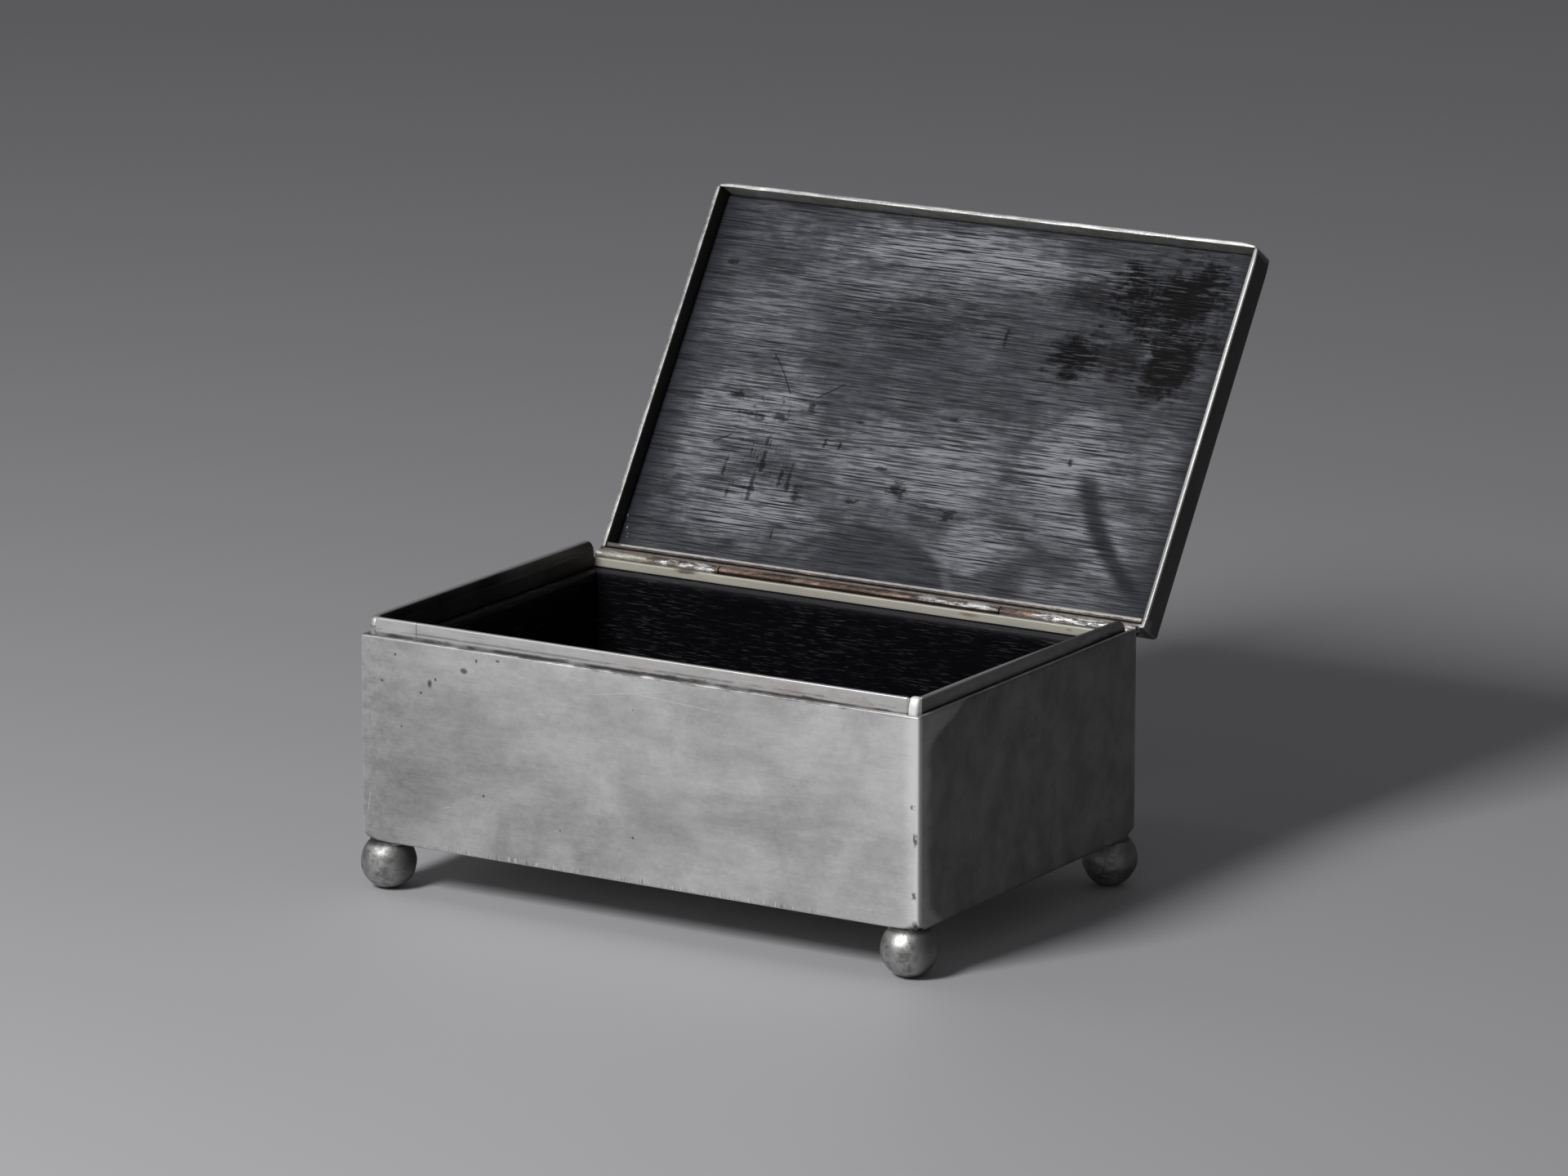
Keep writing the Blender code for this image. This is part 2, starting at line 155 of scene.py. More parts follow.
class BoxColours(bpy.types.PropertyGroup):
    """Colours of the metals and woods."""

    pewter: colour_setting("Pewter", "Aged sheet pewter", (0.50, 0.50, 0.495))
    # Also laid as painted shade on shaded faces: the right sides, the collar's side strips and
    # inside, and the balls' far sides
    tarnish: colour_setting("Tarnish", "Dark brown-grey tarnish", (0.10, 0.09, 0.09))
    # Also laid as a painted highlight up the right front corner
    rubbed: colour_setting("Rubbed edge", "Pewter rubbed bright", (0.82, 0.82, 0.80))
    ball: colour_setting("Ball feet", "Polished pewter", (0.49, 0.49, 0.48))
    solder: colour_setting("Solder", "Scraped solder", (0.80, 0.80, 0.78))
    cream: colour_setting("Bearer strip", "Cream white metal", (0.69, 0.665, 0.565))
    tube: colour_setting("Hinge tube", "Brown stain on the lid's strip", (0.34, 0.24, 0.19))
    black_wood: colour_setting("Lining", "Black stained wood", (0.003, 0.003, 0.004))
    panel: colour_setting("Lid panel", "Dark stained wood", (0.026, 0.027, 0.034))
    # Worn wood, whose blue-grey also stands in for the sheen as painted sheen
    panel_wear_and_sheen: colour_setting(
        "Worn panel", "Wood where the stain is worn", (0.305, 0.31, 0.337),
    )
    floor: colour_setting("Floor", "Plain pale floor", (0.46, 0.46, 0.475))


# Measures of the walls in metres: reach of a filed corner, drop of the shoulder to the front
# left, rounding of the inner edges, and the bead along the bottom plate
CORNER_FADE = 0.0022
SHOULDER_LEAN = 0.00022
SHEET_ROUNDING = 0.00025
SEAM_RADIUS = 0.0005
SEAM_INSET = 0.00015
SEAM_HEIGHT = 0.0003
SEAM_CORNER = 0.0004
# The balls: the worn flat as a share of the radius, and how far one reaches into its solder
BALL_FLAT = 0.275
BALL_SEAT = 0.0003
# The solder over a ball: its reach below and how much more above, its unevenness, how far it
# laps over the ball, how much taller it is than the gap there, its shift inwards, and how far
# it stays inside the walls
SEAT_REACH = 0.0052
SEAT_LIP = 0.0006
SEAT_WAVE = 0.00025
SEAT_LAP = 0.0004
SEAT_RISE = 0.0005
SEAT_SHIFT = 0.0008
SEAT_MARGIN = 0.0007
# The collar's strips, and its posts with what is added at their high corner
STRIP_SHIFT = 0.0004
STRIP_ROUNDING = 0.0003
STRIP_WAVE = 0.00008
STRIP_CORNER = 0.0036
POST_GROWTH = (0.0, 0.0006, 0.0001)
POST_ROUNDING = 0.0009
POST_LEAN = 0.0011
# Unevenness of the posts, the bearer and the panel, and the edges of boards and strips
FINE_WAVE = 0.00006
BOARD_ROUNDING = 0.0002
BOARD_ROLL = 0.0013
BEARER_ROUNDING = 0.00028
PANEL_ROUNDING = 0.0004
LID_STRIP_ROUNDING = 0.0002
LID_STRIP_HOLLOW = 0.00035
# The hinge's tubes, and the run of solder under them: its radius, its place in Y and Z, and
# how far it stays inside the tube's left and right end
TUBE_BORE = 0.00085
TUBE_ROUNDING = 0.00018
TUBE_WAVE = 0.00003
RUN_RADIUS = 0.00085
RUN_PLACE = (0.0200, 0.06508)
RUN_INSETS = (0.0003, 0.0004)
# The lid: rounding of its rim inside and outside, how far its front corners are eased in X and
# Y and over what length, and how far its top hollows
RIM_INNER = 0.00022
RIM_OUTER = 0.0004
LID_EASE_X = 0.0004
LID_EASE_Y = 0.0009
LID_EASE = 0.0065
TOP_HOLLOW = 0.00012
# The camera that was solved from the photograph, in metres, degrees and millimetres of lens
CAMERA_PLACE = (1.06667, -1.731794, 0.55908)
CAMERA_DOWN = 13.49
CAMERA_TURN = 31.87
CAMERA_LENS = 187.5
# The even light, the point that the lamps face, and the angle past which an edge stays sharp
WORLD_STRENGTH = 0.115
LAMP_TARGET = (0.0, -0.03, 0.05)
SHARP_ANGLE = math.radians(38)


def maths(operation, swapped=False):
    """A method of Value that adds one Math node, with its two numbers swapped or not."""
    def method(self, other):
        values = (other, self) if swapped else (self, other)
        return self.math(operation, *values)
    return method


class Value:
    """A socket of a material's nodes.  Arithmetic on it adds Math nodes."""

    __add__ = maths("ADD")
    __radd__ = maths("ADD", swapped=True)
    __sub__ = maths("SUBTRACT")
    __rsub__ = maths("SUBTRACT", swapped=True)
    __mul__ = maths("MULTIPLY")
    __rmul__ = maths("MULTIPLY", swapped=True)
    __truediv__ = maths("DIVIDE")
    most = maths("MAXIMUM")
    least = maths("MINIMUM")

    def __init__(self, finish, socket):
        self.finish = finish
        self.socket = socket

    def math(self, operation, *values):
        """Add a Math node with these numbers or values."""
        settings = {"operation": operation}
        return self.finish.node("ShaderNodeMath", settings, dict(enumerate(values)))

    def size(self):
        """The number without its sign."""
        return self.math("ABSOLUTE", self)

    def root(self):
        """Square root."""
        return self.math("SQRT", self)

    def rise(self, low, high, start=0.0, end=1.0):
        """0 below one number and 1 above another, smooth between."""
        settings = {"interpolation_type": "SMOOTHSTEP"}
        sockets = {"Value": self, "From Min": low, "From Max": high, "To Min": start, "To Max": end}
        return self.finish.node("ShaderNodeMapRange", settings, sockets)

    def fall(self, low, high):
        """1 below one number and 0 above another, smooth between."""
        return self.rise(low, high, 1.0, 0.0)


def rgba(colour, strength=1.0):
    """A plain colour as four numbers, lightened or darkened; one that varies stays as it is."""
    if isinstance(colour, Value):
        return colour
    return (colour[0] * strength, colour[1] * strength, colour[2] * strength, 1.0)


def distance(a, b):
    """The distance that two values at a right angle to each other make."""
    return (a * a + b * b).root()


class Finish:
    """One material: coordinates in millimetres, a base colour laid in coats, and its shader."""

    def __init__(self, name, metallic, roughness, lid=False):
        self.material = bpy.data.materials.new(name)
        self.material.use_nodes = True
        self.nodes = self.material.node_tree.nodes
        self.links = self.material.node_tree.links
        self.shader = self.nodes["Principled BSDF"]
        self.give(Metallic=metallic, Roughness=roughness)
        coordinates = self.nodes.new("ShaderNodeTexCoord")
        place = Value(self, coordinates.outputs["Object"])
        shift = np.array([0.0, -CENTRE_Y, 0.0])
        turn = 0.0
        if lid:
            turn = OPEN_ANGLE
            sine = math.sin(turn)
            cosine = math.cos(turn)
            _, y, z = HINGE_PLACE
            shift = shift + [0.0, y - y * cosine + z * sine, z - y * sine - z * cosine]
        sockets = {
            "Vector": place, "Location": tuple(shift / MM), "Rotation": (turn, 0.0, 0.0),
            "Scale": (1 / MM, 1 / MM, 1 / MM),
        }
        self.place = self.node("ShaderNodeMapping", {"vector_type": "POINT"}, sockets)
        split = self.nodes.new("ShaderNodeSeparateXYZ")
        self.links.new(self.place.socket, split.inputs[0])
        self.x, self.y, self.z = (Value(self, socket) for socket in split.outputs)
        self.base = None

    def node(self, kind, settings, sockets, output=0):
        """Add a node: its settings first, then the numbers or links of its sockets."""
        node = self.nodes.new(kind)
        for name, setting in settings.items():
            setattr(node, name, setting)
        for key, value in sockets.items():
            self.fill(node.inputs[key], value)
        return Value(self, node.outputs[output])

    def fill(self, socket, value):
        """Link a value to a socket, or set a number there."""
        if isinstance(value, Value):
            self.links.new(value.socket, socket)
        else:
            socket.default_value = value

    def give(self, **values):
        """Fill sockets of the shader; an underscore in a name stands for a space."""
        for name, value in values.items():
            self.fill(self.shader.inputs[name.replace("_", " ")], value)
        return self.material

    def done(self, roughness, height, depth, strength=0.6):
        """Fill in the base colour, the roughness and a bump whose height 1 is so many metres."""
        sockets = {"Height": height, "Distance": depth, "Strength": strength}
        normal = self.node("ShaderNodeBump", {}, sockets)
        return self.give(Base_Color=self.base, Roughness=roughness, Normal=normal)

    def mix(self, share, low, high):
        """A colour between two colours."""
        sockets = {0: share, 6: rgba(low), 7: rgba(high)}
        return self.node("ShaderNodeMix", {"data_type": "RGBA"}, sockets, output=2)

    def ground(self, share, low, high):
        """Start the base colour as one between two colours."""
        self.base = self.mix(share, low, high)

    def coat(self, share, colour, strength=1.0):
        """Lay a colour over the base colour by a share of 0 to 1."""
        self.base = self.mix(share, self.base, rgba(colour, strength))

    def scaled(self, size, stretch):
        """Coordinates in which a feature of so many millimetres is one unit long."""
        scale = tuple(1 / (size * part) for part in stretch)
        sockets = {"Vector": self.place, "Scale": scale}
        return self.node("ShaderNodeMapping", {"vector_type": "POINT"}, sockets)

    def noise(self, size, stretch=(1, 1, 1), detail=2.0, rough=0.5, warp=0.0, seed=0.0):
        """Noise about 0.5, with features of a size in millimetres."""
        sockets = {
            "Vector": self.scaled(size, stretch), "W": seed, "Scale": 1.0, "Detail": detail,
            "Roughness": rough, "Distortion": warp,
        }
        return self.node("ShaderNodeTexNoise", {"noise_dimensions": "4D"}, sockets)

    def specks(self, spacing, share, stretch=(1, 1, 1), seed=0.0):
        """Small round spots: 1 within a share of a cell's spacing of its own point."""
        sockets = {"Vector": self.scaled(spacing, stretch), "W": seed, "Scale": 1.0}
        reach = self.node("ShaderNodeTexVoronoi", {"voronoi_dimensions": "4D"}, sockets)
        return reach.fall(share * 0.6, share)

    def patch(self, u, v, place, reach, soft=0.6, edge=None):
        """1 inside an ellipse, falling to 0 at its reach; an edge value shifts its outline."""
        away = distance((u - place[0]) / reach[0], (v - place[1]) / reach[1])
        if edge is not None:
            away = away + edge
        return away.fall(1 - soft, 1.0)

    def patches(self, u, v, marks, soft, edge):
        """The most of several patches, each with its place, reach and weight."""
        most = 0.0
        for place, reach, weight in marks:
            most = (self.patch(u, v, place, reach, soft, edge) * weight).most(most)
        return most

    def stroke(self, u, v, start, end, width):
        """1 along a straight scratch, by the distance to its nearest point."""
        du = end[0] - start[0]
        dv = end[1] - start[1]
        square = du * du + dv * dv
        from_u = u - start[0]
        from_v = v - start[1]
        share = (from_u * (du / square) + from_v * (dv / square)).most(0.0).least(1.0)
        away = distance(from_u - share * du, from_v - share * dv)
        return away.fall(width * 0.25, width * 0.6)

    def strokes(self, u, v, scratches):
        """The most of several strokes, each with its start, end and width."""
        most = 0.0
        for start, end, width in scratches:
            most = self.stroke(u, v, start, end, width).most(most)
        return most


def skin(name, rings, closed):
    """A mesh over rings of points, with a quad between each four neighbours.

    rings has the shape (rings, points round a ring, 3).  The last ring joins the first if
    closed, and otherwise each end is closed by a fan to the middle of its ring.  If the
    enclosed volume, the sum of a . (b x c) / 6 over the triangles, is negative, all faces
    are turned over, so that they face outwards.
    """
    count, around = rings.shape[:2]
    points = rings.reshape(-1, 3)
    ring = np.arange(count if closed else count - 1)[:, None] * around
    above = (ring + around) % (count * around)
    step = np.arange(around)[None, :]
    after = (step + 1) % around
    loops = np.stack([ring + step, ring + after, above + after, above + step], axis=-1)
    quads = loops.reshape(-1, 4)
    fans = np.empty((0, 3), dtype=int)
    if not closed:
        points = np.vstack([points, rings[[0, -1]].mean(axis=1)])
        foot = np.full(around, count * around)
        last = (count - 1) * around
        low = np.stack([foot, after[0], step[0]], axis=-1)
        high = np.stack([foot + 1, step[0] + last, after[0] + last], axis=-1)
        fans = np.vstack([low, high])
    triangles = np.vstack([quads[:, [0, 1, 2]], quads[:, [0, 2, 3]], fans])
    a, b, c = (points[triangles[:, place]] for place in range(3))
    if np.einsum("ij,ij->i", a, np.cross(b, c)).sum() < 0:
        quads = quads[:, ::-1]
        fans = fans[:, ::-1]
    mesh = bpy.data.meshes.new(name)
    mesh.from_pydata(points, [], quads.tolist() + fans.tolist())
    mesh.update()
    mesh.shade_smooth()
    mesh.set_sharp_from_angle(angle=SHARP_ANGLE)
    return mesh


def add_piece(name, rings, finish, body, slot, *nodes, closed=False):
    """Make a piece from its rings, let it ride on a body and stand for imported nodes."""
    mesh = skin(name, rings, closed)
    mesh.materials.append(finishes[finish])
    shape = bpy.data.objects.new(name, mesh)
    bpy.context.scene.collection.objects.link(shape)
    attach(shape, body)
    if nodes:
        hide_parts(*nodes)


def dress(node, finish):
    """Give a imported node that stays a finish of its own."""
    mesh = frame["nodes"][node].data
    mesh.materials.clear()
    mesh.materials.append(finishes[finish])


def spread(x, y, z):
    """Points from three arrays of coordinates, each stretched to the shape of all."""
    return np.stack(np.broadcast_arrays(x, y, z), axis=-1)


def circle(count):
    """Angles round a whole turn, as a row."""
    return np.linspace(0.0, math.tau, count, endpoint=False)[None]


def ripple(a, b, size, seed):
    """Smooth unevenness from -1 to 1: the mean of six sine waves in seeded directions."""
    draw = np.random.default_rng(seed)
    total = 0.0
    for _ in range(6):
        angle, phase = draw.uniform(0.0, math.tau, 2)
        pace = draw.uniform(0.6, 1.6) * math.tau / size
        total = total + np.sin(pace * (a * math.cos(angle) + b * math.sin(angle)) + phase)
    return total / 6


def plan(half_a, half_b, radius, steps, flats):
    """Skeleton and outward directions round a rectangle with rounded corners.

    The skeleton is the rectangle that the centres of the corner arcs make.  A point at a
    distance d from it is skeleton + d * direction, so d = radius gives the outline and
    d = radius - inset gives a line inside it.
    """
    centres = np.array([[1, 1], [-1, 1], [-1, -1], [1, -1]]) * [half_a - radius, half_b - radius]
    turns = np.linspace(0.0, QUARTER, steps + 1)
    skeleton = []
    direction = []
    for quarter in range(4):
        angles = turns + quarter * QUARTER
        skeleton.append(np.repeat(centres[quarter][None], steps + 1, axis=0))
        direction.append(np.stack([np.cos(angles), np.sin(angles)], axis=-1))
        shares = np.linspace(0.0, 1.0, flats[quarter % 2] + 2)[1:-1, None]
        skeleton.append(centres[quarter] * (1 - shares) + centres[(quarter + 1) % 4] * shares)
        direction.append(np.repeat(direction[-1][-1:], flats[quarter % 2], axis=0))
    return np.vstack(skeleton), np.vstack(direction)


def slab(low, high, radius, along, count, flats, steps=4):
    """Rings of a block with all its edges rounded, along one axis.

    Over each end the place is r - r cos t from the end and the ring is drawn in by
    r - r sin t; a ring is the skeleton plus (r - inset) times the direction.
    """
    axes = [along] + [axis for axis in range(3) if axis != along]
    low = np.array(low, dtype=float)[axes]
    high = np.array(high, dtype=float)[axes]
    half = (high - low) / 2
    middle = (high + low) / 2
    radius = min(radius, 0.98 * half.min())
    skeleton, direction = plan(half[1], half[2], radius, steps, flats)
    turns = np.linspace(0.15, QUARTER, steps)
    end_place = radius - radius * np.cos(turns)
    end_inset = radius - radius * np.sin(turns)
    body = np.linspace(low[0] + radius, high[0] - radius, count)[1:-1]
    place = np.concatenate([low[0] + end_place, body, high[0] - end_place[::-1]])
    inset = np.concatenate([end_inset, np.zeros(len(body)), end_inset[::-1]])
    section = skeleton[None] + (radius - inset)[:, None, None] * direction[None]
    rings = spread(place[:, None], section[..., 0] + middle[1], section[..., 1] + middle[2])
    return rings[..., np.argsort(axes)]


# Marks on the metals, in millimetres from the box's middle.
# A stain has a place, a reach, a softness, a raggedness and a weight
FRONT_STAINS = (
    ((-17, 25), (15, 9), 0.5, 1.6, 1.0), ((38, 33), (22, 7), 0.9, 2.0, 0.5),
    ((-60, 52), (20, 12), 0.9, 2.0, 0.6), ((-68, 24), (22, 16), 0.9, 1.5, 0.8),
)
# A pit or a drop has a place, a reach and a weight
FRONT_PITS = (
    ((-50.8, 60.8), (1.5, 1.0), 1.0), ((-47.1, 63.9), (0.6, 0.9), 1.0),
    ((-40.7, 64.7), (0.9, 0.5), 1.0), ((-61.3, 56.3), (0.9, 1.4), 1.0),
    ((-71.7, 62.5), (0.6, 0.6), 1.0), ((-75.8, 55.2), (0.7, 0.5), 1.0),
    ((-59.5, 57.5), (0.5, 0.7), 1.0), ((-64.0, 53.5), (0.5, 0.4), 1.0),
    ((-70.0, 44.0), (0.5, 0.5), 1.0),
)
SIDE_DROPS = (((-10.5, 54.5), (1.3, 1.5), 1.0), ((0.5, 50.5), (1.3, 1.5), 1.0))
# A chip in the right front corner has a height, a reach up and down, and a place across
CORNER_CHIPS = ((35.8, 2.2, 81.3), (21.7, 1.2, 81.0), (14.2, 1.6, 81.2), (44.0, 0.8, 80.6))
# A scratch has a start, an end and a width
FRONT_HAIRLINES = (
    ((-57.2, 24.4), (-55.6, 24.9), 0.25), ((-80.6, 20.5), (-79.8, 25.5), 0.22),
    ((-3, 62), (22, 60.6), 0.2), ((-12, 60), (9, 63.4), 0.18),
)

# Marks on the lid's panel, in millimetres from its middle with the lid shut.
# A cloud, a pool or a knock has a place, a reach and a weight
WORN_CLOUDS = (
    ((-50, 6), (25, 17), 0.78), ((-44, 34), (28, 13), 1.0), ((44, 12), (27, 20), 1.0),
    ((0, 18), (50, 20), 0.74), ((-58, -18), (24, 20), 0.42), ((62, 34), (13, 14), 0.65),
    ((70, 8), (10, 18), 0.45), ((-4, -42), (68, 11), 0.9), ((-20, -32), (52, 12), 0.40),
    ((26, 36), (18, 12), 0.80), ((-62, 20), (18, 22), 0.62), ((50, 26), (26, 12), 0.70),
    ((52, 46), (22, 8), 0.45),
)
BLACK_POOLS = (
    ((35.5, -19.5), (12, 10), 1.0), ((57, -37), (25, 16), 1.0), ((65, -22), (13, 17), 1.0),
    ((47, -21), (17, 9), 0.75), ((36, -36), (15, 8), 0.7), ((-9, -25), (26, 8), 0.45),
)
KNOCKS = (
    ((-73.4, -33.3), (2.4, 0.9), 0.9), ((15.0, -21.6), (0.9, 2.8), 0.9),
    ((-58.9, 4.1), (3.3, 1.6), 0.9), ((-51.4, 8.7), (4.0, 1.4), 0.9),
    ((-44.5, 8.7), (2.9, 1.6), 0.9), ((-45.5, 15.7), (0.9, 2.5), 0.9),
    ((-35.5, 4.9), (1.5, 1.8), 0.9), ((-28.6, 14.4), (0.7, 2.1), 0.9),
    ((-23.8, 14.5), (0.7, 1.7), 0.9), ((-46.5, 28.1), (1.0, 6.3), 0.9),
    ((-45.3, 21.4), (0.9, 4.6), 0.9), ((-38.5, 25.2), (0.9, 3.7), 0.9),
    ((-35.8, 24.9), (1.0, 4.6), 0.9), ((-32.3, 28.5), (2.1, 3.5), 0.9),
    ((-35.8, 41.1), (0.6, 2.1), 0.9), ((-15.3, 28.9), (2.6, 1.5), 0.9),
    ((-2.9, 23.9), (3.3, 2.8), 0.9), ((13.6, 29.3), (3.1, 2.1), 0.9),
    ((-9.6, 18.8), (2.9, 0.9), 0.9), ((-56, 24), (0.9, 3.5), 0.9),
    ((44.6, 10.2), (0.9, 1.8), 0.9), ((-53, 31), (0.9, 2.8), 0.9),
    ((-20, 7), (2.4, 0.7), 0.9), ((8, 3), (2.6, 0.7), 0.9),
)
PANEL_SCRATCHES = (
    ((-51.4, -8.7), (-47.6, -4.6), 0.4), ((-47.6, -4.6), (-43.4, 1.5), 0.4),
    ((-35, 2), (-28, -3), 0.4), ((-62, 17.5), (-57, 15), 0.5),
)
# The round mark that a cup left at the panel's rear edge
CUP_PLACE = (-3, 59.0)
CUP_REACH = 25.5


def build_finishes(colours):
    """All materials by name."""
    return {
        "sheet": sheet_finish(colours),
        "lid sheet": lid_sheet_finish(colours),
        "collar": collar_finish(colours),
        "ball": ball_finish(colours),
        # The right post's solder, lifted to near white as a painted highlight
        "solder": solder_finish("scraped solder", colours, 1.22),
        "worn solder": solder_finish("worn solder", colours, 0.75),
        "dull solder": solder_finish("grey solder", colours, 0.42),
        "cream": cream_finish(colours),
        "lid strip": lid_strip_finish(colours),
        "tube": tube_finish("stained tube", colours, True),
        "lid tube": tube_finish("stained lid tube", colours, False),
        "wire": wire_finish(),
        "lining": lining_finish("black stained wood", colours, 2),
        "base board": lining_finish("black stained base", colours, 1),
        "panel": panel_finish(colours),
    }


def sheet_finish(colours):
    """Cloudy pewter sheet: soft clouds, level brushing, specks, tarnish and rubbed edges, with
    painted light towards the right front corner and painted shade on the right side.
    """
    look = Finish("aged sheet pewter", 0.72, 0.46)
    x, y, z = look.x, look.y, look.z
    clouds = look.noise(26, detail=4, rough=0.55, warp=0.8).rise(0.32, 0.68)
    mottle = look.noise(4.5, stretch=(1.8, 1.8, 0.8), detail=5, rough=0.65, seed=3).rise(0.3, 0.7)
    grit = look.noise(0.9, stretch=(1.6, 1.6, 1), detail=3, rough=0.7, seed=4) - 0.5
    brush = look.noise(0.6, stretch=(18, 18, 0.45), detail=3, rough=0.6, seed=5) - 0.5
    wobble = look.noise(7, detail=3, rough=0.65, seed=8) - 0.5

    # The front's clouds and stains, with painted light brighter to the right, towards the top and
    # at the right corner
    on_front = (y + END_Y).fall(0.7, 1.4)
    # The right front corner, brightened as a painted highlight as well as rubbed
    right_corner_wear_and_highlight = x.rise(77.0, 82.0) * on_front
    stain = 0.0
    for place, reach, soft, ragged, weight in FRONT_STAINS:
        stain = (look.patch(x, z, place, reach, soft, wobble * ragged) * weight).most(stain)
    tone = 0.56 + 0.28 * clouds + 0.20 * mottle + 0.36 * brush + 0.36 * grit + 0.42 * right_corner_wear_and_highlight
    # Painted light: the front lighter to the right and towards the top, more near the right corner
    painted_lighting = 0.13 * x.rise(-85, 60) + 0.10 * z.rise(20, 62)
    painted_lighting = painted_lighting + 0.10 * x.rise(62, 80) * z.rise(16, 54)
    tone = tone + (painted_lighting - 0.15 * stain) * on_front

    # Painted shade on the right side, less towards the front, with a few dark drops
    side = x.rise(SIDE_X - 0.6, SIDE_X - 0.1)
    shade_y = -49.3 + 21 * z.rise(57, 70) + 6 * z.fall(12.5, 19)
    shade = (y + wobble * 4.5 - shade_y).rise(-2.2, 2.6)
    side_tone = look.noise(9, stretch=(1, 1, 1.5), detail=5, rough=0.65, seed=31).rise(0.32, 0.68)
    drops = look.patches(y, z, SIDE_DROPS, 0.8, wobble * 1.5) * 1.08
    side_shade_and_drops = side * ((0.66 + 0.36 * shade) * (0.87 + 0.13 * side_tone)).most(drops)

    # Specks, pits and chips, denser at the left end
    left_end = x.fall(-80, -60)
    left_age = x.fall(-82, -60) * look.noise(2.4, detail=5, rough=0.75, seed=11).rise(0.46, 0.62)
    marks = look.specks(5.5, 0.085, seed=2).most(look.specks(2.4, 0.08, seed=4) * left_end)
    marks = marks * look.noise(16, seed=6).rise(0.40, 0.58)
    marks = marks.most(look.patches(x, z, FRONT_PITS, 0.7, wobble * 1.2) * on_front)
    flaked = look.noise(1.1, detail=3, rough=0.7, seed=9).rise(0.42, 0.52)
    flaked = flaked * (y + END_Y - 1.05).fall(-0.2, 0.2)
    for height, reach, across in CORNER_CHIPS:
        chip = (z - height).size().fall(reach * 0.3, reach) * (x - across).size().fall(0.3, 0.9)
        marks = marks.most(chip * flaked)

    # A broken dark line under the shoulder, and nicks along the lower edge
    broken = look.noise(8, detail=3, seed=15).rise(0.34, 0.56) * (0.4 + 0.6 * x.fall(50, 75))
    ragged = look.noise(6, stretch=(1.6, 1.6, 0.5), detail=5, rough=0.7, seed=13).rise(0.40, 0.74)
    depth = 0.15 + 0.7 * ragged * (0.35 + 0.65 * x.rise(-70, 20))
    line = (z + depth).rise(SHOULDER - 0.57, SHOULDER + 0.03) * broken
    nicks = look.noise(1.0, stretch=(0.5, 0.5, 7), detail=2, seed=17)
    below = (z - look.noise(5, seed=18) * 4).fall(11.6, 12.6) * x.rise(-72, -62) * x.fall(48, 60)

    # Edges rubbed bright, with a painted highlight up the right front corner
    to_end = (y.size() - END_Y).size()
    rubbed = ((x - SIDE_X).size() + to_end).fall(0.4, 2.0)
    rubbed = rubbed.most(((x + SIDE_X).size() + to_end).fall(0.3, 1.2) * 0.5)
    # A painted highlight, with rubbing, up the right front corner
    rubbed = rubbed.most(z.rise(22, 52) * right_corner_wear_and_highlight * 0.6)
    rubbed = rubbed.most(z.fall(UNDER + 0.18, UNDER + 0.73) * 0.3)
    rubbed = rubbed.most(z.rise(SHOULDER - 0.27, SHOULDER - 0.02) * 0.12)
    rubbed = rubbed.most(nicks.rise(0.56, 0.64) * below * 0.6)
    rubbed = rubbed.most(look.strokes(x, z, FRONT_HAIRLINES) * on_front * 0.5) * (1 - 0.75 * line)

    look.ground(tone * 0.64, colours.tarnish, rgba(colours.pewter, 1.8))
    look.coat(rubbed, colours.rubbed, 1.2)
    # Painted shade of the right side, with the marks, the shoulder line and the nicks, in the
    # tarnish colour
    dark = (side_shade_and_drops * 0.90).most(marks * 0.8).most(line * 0.80)
    dark = dark.most(left_age * 0.20).most(nicks.fall(0.36, 0.44) * below * 0.5)
    look.coat(dark, colours.tarnish, 0.5)
    rough = 0.47 + 0.10 * (clouds - 0.5) - 0.15 * rubbed + 0.08 * brush - 0.06 * side
    height = look.noise(34, detail=1, seed=21) * 0.7 + brush * 0.03 + mottle * 0.05
    return look.done(rough, height + grit * 0.05 - marks * 0.12, 0.0006)


